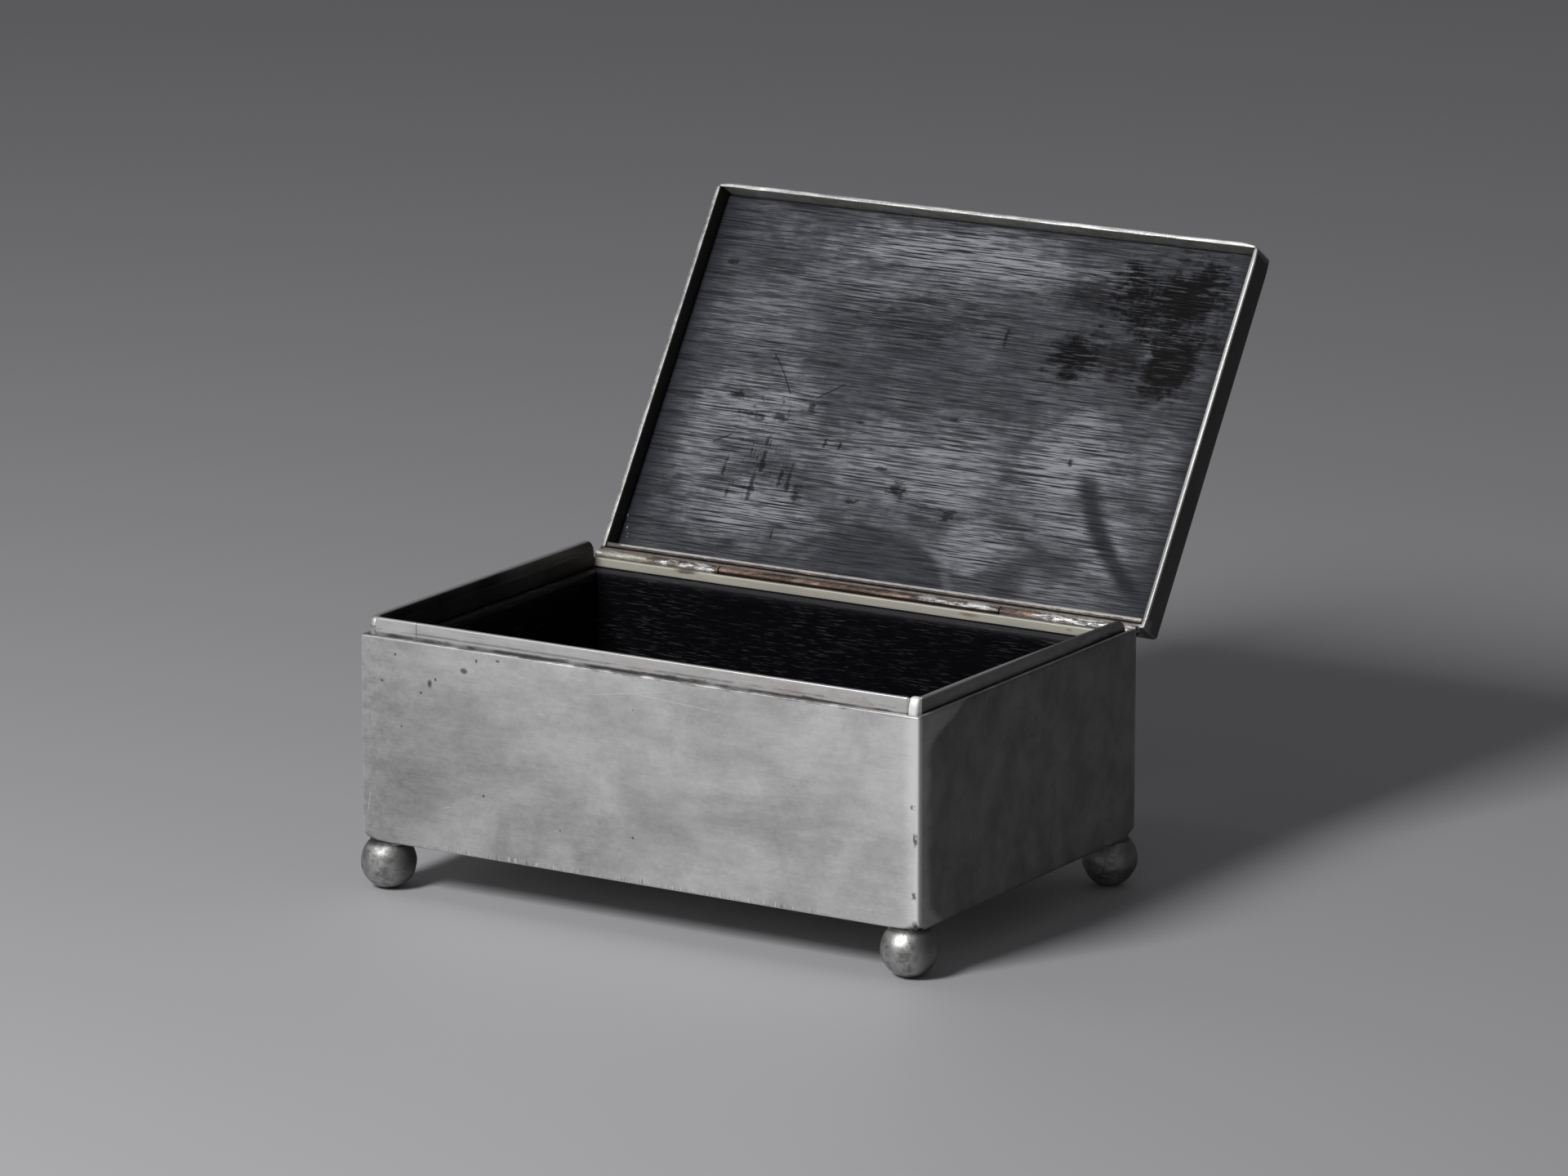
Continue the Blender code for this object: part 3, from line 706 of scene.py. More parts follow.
def lid_sheet_finish(colours):
    """Pewter of the lid: bright rubbed rim, grey-green inside, a clouded top, and painted shade on
    its right side, inner ends and rear outer end.
    """
    look = Finish("lid sheet pewter", 0.70, 0.44, lid=True)
    x, y, z = look.x, look.y, look.z
    clouds = look.noise(26, detail=4, warp=0.8, seed=2).rise(0.32, 0.68)
    mottle = look.noise(4, detail=5, rough=0.65, seed=3).rise(0.3, 0.7)
    brush = look.noise(0.7, stretch=(14, 14, 0.35), detail=3, rough=0.6, seed=5) - 0.5
    top_brush = look.noise(0.7, stretch=(16, 0.4, 6), detail=3, rough=0.6, seed=6) - 0.5
    tone = 0.66 + 0.22 * clouds + 0.12 * mottle + 0.16 * brush + 0.16 * top_brush
    look.ground(tone, colours.tarnish, rgba(colours.pewter, 1.15))

    # The rim is rubbed in level tracks, less on the left and only in thin lines on the right
    rim = z.fall(RIM + 0.23, RIM + 0.58)
    wear = look.noise(1.6, stretch=(2.4, 2.4, 1), detail=5, rough=0.75, seed=8)
    scuff = wear.rise(0.36, 0.62)
    track = look.noise(0.5, stretch=(14, 0.7, 1), detail=2, seed=12).rise(0.42, 0.6)
    side_track = look.noise(0.5, stretch=(0.7, 14, 1), detail=2, seed=14).rise(0.42, 0.6)
    left = x.fall(0.9 - SIDE_X, 1.7 - SIDE_X)
    right = x.rise(SIDE_X - 1.7, SIDE_X - 0.9)
    rear = y.rise(51.9, 52.3)
    rearward = y.rise(-10, 50)
    outer = (x + 0.2 * (wear - 0.5)).rise(SIDE_X - 0.65, SIDE_X - 0.4)
    outer_line = outer * (1 - 0.45 * side_track) * (1 - x.rise(SIDE_X - 0.2, SIDE_X - 0.05) * 0.8)
    thin = (0.30 + 0.58 * outer_line) * (1 - 0.6 * rearward)
    bright = 0.18 + 0.42 * track * (1 - left) * (1 - right) + 0.30 * scuff
    bright = bright * (1 - left * (0.45 + 0.5 * (1 - scuff))) * (1 - right * (1 - thin))
    bright = bright * rim * (1 - 0.93 * rear)
    look.coat(bright, colours.rubbed, 1.15)

    # Inside the skirts it is grey-green, with painted shade nearly black at both ends, and brown
    # along the hinge
    inside = x.size().fall(81.5, 81.9) * y.size().fall(52.65, 53.05)
    inside = inside * z.rise(RIM + 0.23, RIM + 0.63) * z.fall(CEILING + 0.13, CEILING + 0.53)
    # Painted shade: the inner faces at both ends nearly black
    inner_end_shade = x.fall(-80.5, -80.0).most(x.rise(80.0, 80.5) * 0.8)
    green = look.mix(mottle, (0.30, 0.30, 0.26), (0.46, 0.46, 0.40))
    look.coat(inside * 0.95, look.mix(inner_end_shade, green, (0.012, 0.012, 0.012)))
    look.coat(rear * rim * 0.9, look.mix(mottle, (0.035, 0.024, 0.018), (0.11, 0.082, 0.062)))

    # Painted shade on the right side and on the rear skirt's outside near the right, tarnish in the
    # mitred corners and where the rim isn't rubbed
    side = x.rise(SIDE_X - 0.6, SIDE_X - 0.1) * z.rise(RIM + 0.23, RIM + 0.73)
    seam = (x.size() - SIDE_X - y.size() + END_Y).size().fall(0.12, 0.3) * rim
    rim_wear_and_shade = left * (0.60 - 0.35 * scuff) + right * (0.45 * (1 - outer) + 0.30 * rearward)
    rim_wear_and_shade = (rim_wear_and_shade + 0.35 * (1 - track) * y.fall(-52.2, -51.9)) * rim
    # Painted shade on the rear skirt's outside near the right end
    rim_wear_and_shade = rim_wear_and_shade + 0.8 * y.rise(53.2, 53.5) * x.rise(76, 81)
    dark = (side * 0.95).most(seam * 0.8).most(rim_wear_and_shade).most(look.specks(7, 0.08, seed=9) * 0.6)
    look.coat(dark, colours.tarnish, 0.25)
    joint = look.patch(x, y, (81.6, 52.2), (1.7, 2.6), 0.7, (wear - 0.5) * 2) * z.fall(69.5, 71.0)
    look.coat(joint * 0.85, look.mix(scuff, (0.10, 0.10, 0.10), rgba(colours.solder, 0.42)))

    look.give(Metallic=0.70 - 0.45 * inside)
    rough = 0.45 + 0.12 * (clouds - 0.5) - 0.10 * bright + 0.08 * inside
    height = look.noise(28, detail=1, seed=21) * 0.7 + brush * 0.02 + mottle * 0.06
    return look.done(rough, height + rim * wear * 0.25, 0.0006)


def collar_finish(colours):
    """Collar strips: bright worn top edge, brown tint, tarnish along the foot, and painted shade on
    the side strips and inside.
    """
    look = Finish("collar pewter", 0.72, 0.42)
    x, y, z = look.x, look.y, look.z
    brush = look.noise(0.6, stretch=(12, 12, 0.4), detail=3, rough=0.6, seed=5) - 0.5
    mottle = look.noise(4, stretch=(1.8, 1.8, 0.7), detail=5, rough=0.65, seed=6)
    ragged = look.noise(7, stretch=(1.6, 1.6, 0.5), detail=5, rough=0.7, seed=13)
    tone = 0.62 + 0.36 * brush + 0.5 * (mottle - 0.5)
    look.ground(tone, colours.tarnish, rgba(colours.pewter, 2.0))
    look.coat(mottle.rise(0.44, 0.62) * x.rise(-25, 15) * 0.5, (0.44, 0.35, 0.30))

    # Painted shade on the side strips and the inside, the left one's inside nearly black
    top = z.rise(COLLAR_TOP - 0.62, COLLAR_TOP - 0.17)
    side = x.size().rise(79.5, 79.8)
    inner = (y + 50.85).rise(0.0, 0.2) * x.size().fall(79.9, 80.1)
    shade = (side * (0.80 + 0.3 * (mottle - 0.5))).most(inner * 0.6)
    look.coat(shade * (1 - top * 0.55), colours.tarnish, 0.6)
    # Painted shade: the left strip's inside nearly black
    left_inner_shade = x.fall(-79.8, -79.5) * inner.most(x.rise(-80.1, -79.9))
    look.coat(left_inner_shade * (1 - top), (0.003, 0.003, 0.003))
    look.coat(top * (0.85 - 0.5 * side), colours.rubbed, 1.1)

    # Tarnish along the foot, a scratched groove over it, and the joint in the front strip
    broken = 0.45 + 0.55 * look.noise(9, detail=3, seed=15).rise(0.36, 0.56)
    depth = ragged.rise(0.46, 0.76) * (0.3 + 0.7 * x.rise(-60, 20))
    foot = (z - depth).fall(SHOULDER + 0.03, SHOULDER + 0.63) * broken * 0.88
    groove = (z - 67.75 - 0.5 * ragged).size().fall(0.1, 0.45) * ragged.rise(0.42, 0.56)
    joint = (x + 66.3).size().fall(0.08, 0.22)
    foot = foot.most(joint * 0.6).most(groove * 0.45 * (1 - side))
    look.coat(foot, colours.tarnish, 0.45)
    rough = 0.42 + 0.1 * brush + 0.12 * foot - 0.08 * top
    return look.done(rough, brush * 0.15 + mottle * 0.3 - joint * 0.3 - groove * 0.3, 0.0002)


def ball_finish(colours):
    """Polished pewter ball, mottled with small flats, darker stains and fine scratches, with
    painted shade on the side turned away from the lamps.
    """
    look = Finish("ball pewter", 1.0, 0.40)
    flats = look.noise(1.6, detail=3, rough=0.6, seed=2)
    stain = look.noise(3.0, detail=5, rough=0.7, warp=0.8, seed=4).rise(0.40, 0.64)
    pits = look.specks(1.2, 0.16, seed=5) * look.noise(4, seed=7).rise(0.40, 0.55)
    scratch = look.noise(0.6, stretch=(4, 4, 0.5), detail=2, warp=1.2, seed=9).rise(0.60, 0.68)
    across = look.x - BALL_X * look.x.math("SIGN", look.x)
    along = look.y - BALL_Y * look.y.math("SIGN", look.y)
    # Painted shade: each ball darker on its side towards the back right, away from the key lamp
    dull = (across * 0.85 + along * 0.53).rise(-0.5, 5.0) * 0.78
    look.ground((stain * 0.6).most(pits * 0.7).most(dull), colours.ball, rgba(colours.tarnish, 0.9))
    look.coat((look.z.rise(11.4, 12.4) * 0.8).most(scratch * 0.3), colours.tarnish, 0.5)
    rough = 0.47 + 0.08 * stain + 0.08 * scratch + 0.10 * (flats - 0.5)
    return look.done(rough, flats - 0.25 * pits - 0.10 * scratch, 0.00016)


def solder_finish(name, colours, shine):
    """Solder, from bright scraped to dull grey, lumpy and smeared; a shine above 1 lifts the colour
    to near white as a painted highlight.
    """
    # A shine above 1 lifts the colour to near white and less metal, as a painted highlight
    scraped = shine > 1.0
    look = Finish(name, 0.28 if scraped else 0.70, 0.42)
    lumps = look.noise(1.1, detail=4, rough=0.6, seed=3)
    smear = look.noise(0.8, stretch=(5, 1, 1), detail=3, seed=6).rise(0.4, 0.65)
    dirt = look.noise(2.4, detail=4, rough=0.7, seed=8).rise(0.45, 0.68)
    low = rgba(colours.solder, shine * (0.95 if scraped else 0.6))
    look.ground(smear, low, rgba(colours.solder, shine))
    look.coat(dirt * (1.1 - shine), (0.07, 0.062, 0.055))
    return look.done(0.38 + 0.18 * dirt, lumps, 0.00012, 0.7)


def cream_finish(colours):
    """Cream white metal strip with fine level brushing, small dark specks, a grey top and painted
    shade along its lower edge.
    """
    look = Finish("cream strip", 0.35, 0.42)
    x, z = look.x, look.z
    brush = look.noise(0.5, stretch=(20, 1, 0.5), detail=3, rough=0.6, seed=2) - 0.5
    blotch = look.noise(6, stretch=(2, 1, 0.6), detail=4, rough=0.6, seed=4) - 0.5
    look.ground(0.90 + 0.40 * brush + 0.7 * blotch, rgba(colours.cream, 0.45), colours.cream)
    rust = look.patch(x, z, (34.5, 64.8), (4.0, 0.9), 0.8, blotch * 1.5)
    rust = rust.most(look.patch(x, z, (64.0, 64.6), (1.5, 0.7), 0.8) * 0.6)
    look.coat(rust * 0.7, (0.32, 0.16, 0.09))
    specks = look.specks(2.2, 0.08, stretch=(1.6, 1, 0.7), seed=6)
    # Painted shade along the lower edge, and a greyed top edge
    edge = z.fall(BEARER_LOW + 0.08, BEARER_LOW + 0.38)
    edge = edge.most(z.rise(BEARER_TOP - 0.22, BEARER_TOP - 0.07) * 0.5)
    drip = look.patch(x, z, (-51.3, 65.5), (5.0, 1.1), 0.7, blotch * 2.5)
    look.coat((specks * 0.6).most(edge * 0.4).most(drip * 0.85), (0.10, 0.09, 0.075))
    return look.done(0.42 + 0.1 * blotch, brush * 0.3 + blotch * 0.4, 0.0002, 0.5)


def lid_strip_finish(colours):
    """Strip along the lid's hinge side: brown hollow between a bright edge and a grey rim."""
    look = Finish("lid strip", 0.45, 0.45, lid=True)
    x, y, z = look.x, look.y, look.z
    brush = look.noise(0.6, stretch=(16, 0.8, 1), detail=3, rough=0.6, seed=2) - 0.5
    blotch = look.noise(4.5, stretch=(2.4, 0.5, 1), detail=5, rough=0.7, seed=4)
    grain = look.noise(0.9, stretch=(3, 0.6, 1), detail=3, rough=0.7, seed=6)
    tone = 0.8 + 0.6 * (blotch - 0.5) + 0.3 * brush
    look.ground(tone, rgba(colours.tube, 0.4), rgba(colours.pewter, 0.8))
    face = z.fall(RIM + 0.53, RIM + 1.03)
    brown = look.mix(blotch.rise(0.46, 0.70), (0.040, 0.026, 0.018), (0.22, 0.155, 0.12))
    pale = x.rise(30, 50) * grain.rise(0.4, 0.6) * 0.8
    look.coat(face * 0.9, look.mix(pale, brown, (0.26, 0.235, 0.19)))
    look.coat(grain.rise(0.60, 0.70) * face * 0.7, (0.62, 0.58, 0.52))
    left_end = x.fall(-77.5, -76.0)
    look.coat(left_end * 0.85, (0.13, 0.135, 0.11))
    bright = (y - 0.12 * (grain - 0.5)).fall(51.20, 51.42) * z.fall(RIM + 0.63, RIM + 1.43)
    bright = bright * (0.7 + 0.3 * grain.rise(0.35, 0.5)) * (1 - left_end * 0.9)
    look.coat(bright, colours.rubbed, 1.2)
    return look.done(0.45 + 0.2 * (blotch - 0.5), blotch + 0.3 * grain, 0.0002)


def tube_finish(name, colours, on_box):
    """Hinge tube: brown and pink stain with grey and white solder smeared along it.

    The smears thicken near the tube's ends, and the side turned down is dark brown as painted
    shade.
    """
    look = Finish(name, 0.55, 0.42)
    x, z = look.x, look.z
    blotch = look.noise(6, stretch=(2.2, 0.6, 0.6), detail=5, rough=0.7, seed=2)
    smear = look.noise(2.4, stretch=(3.5, 0.5, 0.5), detail=5, rough=0.75, seed=5)
    flake = look.noise(1.1, stretch=(3, 0.6, 0.6), detail=4, rough=0.7, seed=7)
    dark = look.noise(3.4, stretch=(3, 1, 1), detail=4, rough=0.7, seed=9).rise(0.50, 0.62)
    if on_box:
        thick = (x.rise(-66, -58) * x.fall(-48, -42)).most(x.rise(46, 56))
        thick = thick.most(x.fall(-70, -62) * 0.6)
        blobs = ()
        underside_shade_z = (65.1, 65.4)
    else:
        thick = (x.rise(8, 26) * x.fall(38, 44)).most(x.rise(-30, -22) * x.fall(-6, 4) * 0.25)
        blobs = (20.0, 35.2)
        underside_shade_z = (65.8, 66.15)
    look.ground(blotch.rise(0.44, 0.62), (0.085, 0.058, 0.045), (0.33, 0.22, 0.17))
    look.coat(smear.rise(0.56 - 0.16 * thick, 0.66 - 0.12 * thick), (0.22, 0.21, 0.20))
    look.coat(x.fall(-68, -60) * 0.5 * smear.rise(0.34, 0.5), colours.cream, 1.1)
    solder = flake.rise(0.66 - 0.19 * thick, 0.72 - 0.16 * thick) * (1.0 if on_box else 0.5)
    look.coat(solder, colours.solder, 1.15)
    for place in blobs:
        blob = look.patch(x, z, (place, 66.8), (3.6, 0.6), 0.6, (smear - 0.5) * 2)
        look.coat(blob * 0.9, colours.solder, 1.1)
    look.coat(dark * (0.75 - 0.5 * thick), (0.040, 0.030, 0.024))
    # Painted shade: the tube's underside nearly black brown
    below = (z + 0.3 * (smear - 0.5)).fall(*underside_shade_z)
    look.coat(below * 0.94, (0.014, 0.008, 0.004))
    gaps = (x + 43.3).size().fall(0.1, 0.35).most((x - 41.7).size().fall(0.1, 0.35))
    look.coat(gaps * 0.9, (0.010, 0.008, 0.006))
    return look.done(0.40 + 0.3 * (blotch - 0.5) + 0.35 * below, smear, 0.0004, 0.8)


def wire_finish():
    """Dull steel wire with brown stain."""
    look = Finish("hinge wire", 0.85, 0.45)
    stain = look.noise(0.8, detail=3, seed=3).rise(0.4, 0.65)
    look.ground(stain, (0.42, 0.40, 0.37), (0.16, 0.12, 0.09))
    return look.give(Base_Color=look.base, Roughness=0.4 + 0.2 * stain)


def lining_finish(name, colours, across):
    """Black stained wood with flecks where the stain has broken, narrow along one axis, and a
    painted highlight along the rolled top edge.
    """
    look = Finish(name, 0.0, 0.40)
    grain = tuple(0.75 if axis == across else 15 for axis in range(3))
    fleck = look.noise(0.42, stretch=grain, detail=2, rough=0.55, seed=2)
    grain = tuple(0.8 if axis == across else 12 for axis in range(3))
    fine = look.noise(0.36, stretch=grain, detail=1, seed=5)
    zone = look.noise(24, stretch=(1, 1, 0.7), detail=3, seed=7).rise(0.34, 0.60)
    light = (fleck.rise(0.58, 0.70) * (0.3 + 0.7 * zone)).most(fine.rise(0.62, 0.72) * 0.6 * zone)
    look.ground(light * 0.85, colours.black_wood, (0.065, 0.065, 0.073))
    # Painted highlight along the rolled top edge, strongest on the back board
    edge = look.z.rise(LINING_TOP - 1.07, LINING_TOP - 0.27)
    on_back = look.y.rise(45, 48)
    painted_edge_highlight = edge * (0.25 + 0.6 * on_back) * (0.7 + 0.6 * (fleck - 0.5))
    look.coat(painted_edge_highlight, (0.050, 0.052, 0.060))
    look.give(Specular_IOR_Level=0.12)
    return look.done(0.40 + 0.25 * (fleck - 0.5) + 0.08 * edge, fleck, 0.00010)


def panel_finish(colours):
    """Dark stained panel: fine level grain, worn clouds with painted sheen, black pools, stains and
    knocks.
    """
    look = Finish("worn stained panel", 0.0, 0.46, lid=True)
    x, y = look.x, look.y
    grain = look.noise(0.50, stretch=(26, 0.95, 2), detail=2, rough=0.55, seed=2)
    dash = look.noise(0.52, stretch=(13, 0.85, 2), detail=2, rough=0.55, seed=4)
    scar = look.noise(0.50, stretch=(44, 0.95, 2), detail=2, rough=0.5, seed=6)
    wobble = look.noise(11, detail=4, rough=0.65, seed=8) - 0.5
    small = look.noise(2.4, stretch=(1.4, 1, 1), detail=4, rough=0.75, seed=9) - 0.5

    # Clouds where the stain is worn thin, away from the panel's rim; they also carry a painted
    # sheen
    worn = look.noise(17, detail=5, rough=0.65, warp=0.5, seed=10).rise(0.42, 0.70) * 0.18
    worn = worn.most(look.patches(x, y, WORN_CLOUDS, 0.9, wobble * 1.5))
    rim = (x.size() + wobble * 4).fall(72, 81) * (y + wobble * 3).rise(-55, -50)
    worn = worn * (0.15 + 0.85 * rim)

    # Stains: a cup's round mark, a blot beside it and a curved dark streak
    cup = distance(x - CUP_PLACE[0], y - CUP_PLACE[1]) + wobble * 1.2
    cup_inside = cup.fall(CUP_REACH - 3.0, CUP_REACH - 0.5)
    cup_rim = (cup - CUP_REACH).size().fall(0.3, 2.2) * x.rise(-12, 6)
    blot = look.patch(x, y, (37, 45), (7.5, 7.5), 0.7, wobble * 1.5)
    along = y - 13
    off = (x - 51.0 - 0.259 * along - 0.0159 * along * along + wobble * 1.5).size()
    ends = along.rise(-1.5, 3) * along.fall(28, 35)
    streak = off.fall(1.8, 5.2) * ends
    streak_core = off.fall(0.8, 3.0) * ends

    # Knocks, scratches and chips
    knock = look.noise(1.6, stretch=(0.6, 1.6, 1), detail=4, rough=0.7, warp=0.6, seed=14)
    knocked = look.patch(x, y, (-46, 22), (13, 15), 0.7)
    knocked = knocked.most(look.patch(x, y, (-51, 7), (15, 8), 0.7))
    knock = knock.rise(0.58, 0.64) * knocked
    bent = x + small * 1.6
    knock = knock.most(look.patches(bent, y, KNOCKS, 0.7, small * 3.6))
    knock = knock.most(look.strokes(bent, y, PANEL_SCRATCHES) * 0.8)
    chips = look.specks(5.0, 0.10, stretch=(1.7, 1, 1), seed=16)
    knock = knock.most(chips * look.noise(20, seed=17).rise(0.42, 0.58) * 0.7)

    light = (grain.rise(0.45, 0.54) * 0.70 + dash.rise(0.51, 0.57) * 0.55).least(1.2)
    show = worn * (0.24 + 0.90 * light) + (0.15 * light + 0.04) * rim
    show = show * (1 - 0.42 * cup_inside) * (1 - 0.75 * streak) * (1 - 0.6 * blot) + 0.14 * cup_rim
    # The worn clouds' blue-grey is worn stain and painted sheen, with the real specular kept low
    look.ground(show, colours.panel, colours.panel_wear_and_sheen)
    look.coat(scar.fall(0.415, 0.455) * (0.55 + 0.4 * worn), colours.panel, 0.12)
    ragged = wobble * 2.6 + small * 1.4 + (dash - 0.5) * 1.5
    pools = look.patches(x, y, BLACK_POOLS, 0.7, ragged)
    look.coat(pools * (1 - 0.55 * dash.rise(0.54, 0.66)), (0.0010, 0.0010, 0.0016))
    look.coat(streak_core * 0.5, colours.panel, 0.4)
    look.coat(knock * 0.85, colours.panel, 0.10)
    flake = look.stroke(x, y, (-82.4, 36), (-78.2, 48), 0.5)
    flake = flake * look.noise(0.8, seed=19).rise(0.55, 0.62)
    flake = flake.most(look.specks(1.8, 0.16, seed=20) * look.patch(x, y, (75.7, -49.5), (3, 3)))
    look.coat(flake, (0.40, 0.41, 0.43))
    look.give(Specular_IOR_Level=0.07)
    rough = 0.46 + 0.20 * worn - 0.06 * pools + 0.15 * (grain - 0.5)
    return look.done(rough, 0.5 * grain + 0.35 * scar + 0.5 * wobble - 0.8 * knock, 0.00022)


finishes = {}


class MakeFinishes(bpy.types.Operator):
    """Make the metals and woods"""

    bl_idname = "lidded_box.make_finishes"
    bl_label = "Metals and woods"

    def execute(self, context):
        finishes.update(build_finishes(context.scene.lidded_box_colours))
        return {"FINISHED"}


class MakeWalls(bpy.types.Operator):
    """Make the four walls as one sheet, the bottom plate's seam and the plate's finish"""

    bl_idname = "lidded_box.make_walls"
    bl_label = "Walls and bottom"

    def execute(self, context):
        rings = wall_rings(context.scene.lidded_box_sizes)
        add_piece(
            "body_walls", rings, "sheet", "box", "pewter",
            "front_wall", "right_wall", "back_wall", "left_wall", closed=True,
        )
        dress("bottom_plate", "sheet")
        add_piece("bottom_seam", seam_rings(), "dull solder", "box", "solder", closed=True)
        return {"FINISHED"}


def wall_rings(sizes):
    """Rings of the walls: a sheet's section carried round the plan.

    A point is skeleton + (r - inset) * direction in plan.  Going round the section, the
    inset and height follow the lower edge (R - R sin t, R - R cos t), the outer face, the
    shoulder's edge, the top, and the inner face.  The top drops along the back for the
    hinge, and the outer face strays by a ripple that fades at both edges.
    """
    radius = sizes.corner_radius
    edge = sizes.shoulder_edge
    skeleton, direction = plan(HALF_LENGTH, HALF_DEPTH, radius, 12, (150, 90))
    side_x, side_y = skeleton.T
    from_corner = HALF_LENGTH - radius - np.abs(side_x) + (HALF_DEPTH - radius - np.abs(side_y))
    corner = np.exp(-(from_corner / CORNER_FADE) ** 2)

    # The lower edge, rounded further at the corners
    lower = sizes.bottom_edge + (sizes.bottom_corner - sizes.bottom_edge) * corner
    start = np.arcsin(1 - np.minimum(lower, SHEET * 0.85) / lower)
    turn = start + (QUARTER - start) * np.linspace(0.0, 1.0, 9)[:, None]
    low_inset = lower * (1 - np.sin(turn))
    low_z = UNDER_Z + lower * (1 - np.cos(turn))

    # The top, a little lower towards the front left and let down along the back
    back = np.clip((direction[:, 1] - 0.72) / 0.2, 0.0, 1.0)
    back = back * back * (3 - 2 * back)
    lean = SHOULDER_LEAN * (side_x / HALF_LENGTH - 1) * (0.5 - 0.5 * side_y / HALF_DEPTH)
    top = (SHOULDER_Z + lean * (1 - back)) * (1 - back) + BACK_TOP_Z * back

    # The outer face, the top's two rounded edges and the inner face
    share = np.linspace(0.0, 1.0, 46)[1:-1, None]
    face_z = (UNDER_Z + lower) * (1 - share) + (top - edge) * share
    turn = np.linspace(0.0, QUARTER, 7)[:, None]
    level = 0 * top
    inner_z = top - SHEET_ROUNDING
    down = np.linspace(0.0, 1.0, 6)[1:, None]
    down_z = inner_z * (1 - down) + low_z[:1] * down
    inset = np.vstack([
        low_inset, np.zeros_like(face_z), edge * (1 - np.cos(turn)) + level,
        SHEET - SHEET_ROUNDING * (1 - np.sin(turn)) + level, np.full_like(down_z, SHEET),
    ])
    height = np.vstack([
        low_z, face_z, top - edge * (1 - np.sin(turn)),
        inner_z + SHEET_ROUNDING * np.cos(turn), down_z,
    ])

    angle = np.arctan2(side_y + direction[:, 1] * radius, side_x + direction[:, 0] * radius)
    stray = ripple(side_x, height + side_y * 1.3, 0.06, 4)
    stray = stray + 0.5 * ripple(0.03 * angle, height, 0.022, 6)
    fade = np.clip((height - UNDER_Z) / 0.006, 0, 1) * np.clip((SHOULDER_Z - height) / 0.004, 0, 1)
    stray = sizes.waviness * stray * fade * (1 - corner)
    reach = radius - inset + np.where(inset < 1e-6, stray, 0.0)
    return round_plan(skeleton, direction, reach, height)


def round_plan(skeleton, direction, reach, height):
    """Rings at skeleton + reach * direction in plan, about the box's middle."""
    spot = skeleton + reach[..., None] * direction
    return spread(spot[..., 0], spot[..., 1] + CENTRE_Y, height)


def seam_rings():
    """A round bead carried round the joint of the walls and the bottom plate."""
    skeleton, direction = plan(HALF_LENGTH - SHEET, HALF_DEPTH - SHEET, SEAM_CORNER, 4, (60, 40))
    angle = circle(10).T
    reach = SEAM_RADIUS * np.cos(angle) - SEAM_INSET + 0 * skeleton[:, 0]
    height = UNDER_Z + SEAM_HEIGHT + SEAM_RADIUS * 0.7 * np.sin(angle)
    return round_plan(skeleton, direction, reach, height)


class MakeFeet(bpy.types.Operator):
    """Make the four ball feet and the solder under the corners"""

    bl_idname = "lidded_box.make_feet"
    bl_label = "Ball feet"

    def execute(self, context):
        dent = context.scene.lidded_box_sizes.dent
        for seed, place in enumerate(("front_left", "front_right", "back_left", "back_right")):
            node = "foot_" + place
            rings = ball_rings(node, dent, seed)
            add_piece("ball_" + place, rings, "ball", "box", "ball_pewter", node)
            rings = ball_solder_rings(node, seed)
            add_piece("ball_solder_" + place, rings, "dull solder", "box", "solder")
        return {"FINISHED"}


def ball_rings(node, dent, seed):
    """A ball worn flat below: radius R less dents, cut where it stands.

    A point is centre + R (sin p cos t, sin p sin t, cos p), with p from the top down; the
    height isn't let below the node's.  The dents are ripples round the ball.
    """
    low, high = corners(node)
    radius = (high[0] - low[0]) / 2
    middle = (high + low) / 2
    centre_z = low[2] + radius * math.sqrt(1 - BALL_FLAT ** 2)
    polar = np.linspace(0.02, math.pi - 0.02, 64)[:, None]
    turn = circle(96)
    x = np.sin(polar) * np.cos(turn)
    y = np.sin(polar) * np.sin(turn)
    z = np.cos(polar) + 0 * turn
    uneven = 0.0
    for step, (a, b) in enumerate(((x, y), (y, z), (z, x))):
        uneven = uneven + ripple(a * radius, b * radius, 0.006, 20 + seed * 7 + step)
    reach = radius - dent * (1 + uneven)
    height = np.clip(centre_z + z * reach, low[2], high[2] + BALL_SEAT)
    return spread(middle[0] + x * reach, middle[1] + y * reach, height)


def ball_solder_rings(node, seed):
    """Solder between a ball and the walls above: a low dome's rings, widest at the top.

    Its radius goes from the ball's own at that height out to a lip under the walls.
    """
    low, high = corners(node)
    middle = (high + low) / 2
    turn = circle(48)
    share = np.linspace(0.0, 1.0, 6)[:, None]
    uneven = ripple(np.cos(turn), np.sin(turn), 1.4, 40 + seed)
    reach = SEAT_REACH + SEAT_LIP * share ** 2 + SEAT_WAVE * uneven
    height = high[2] - SEAT_LAP + share * (UNDER_Z - high[2] + SEAT_RISE)
    x = middle[0] - SEAT_SHIFT * np.sign(middle[0]) + reach * np.cos(turn)
    y = middle[1] - SEAT_SHIFT * np.sign(middle[1] - CENTRE_Y) + reach * np.sin(turn)
    x = np.clip(x, SEAT_MARGIN - HALF_LENGTH, HALF_LENGTH - SEAT_MARGIN)
    return spread(x, np.clip(y, FRONT_Y + SEAT_MARGIN, BACK_Y - SEAT_MARGIN), height)


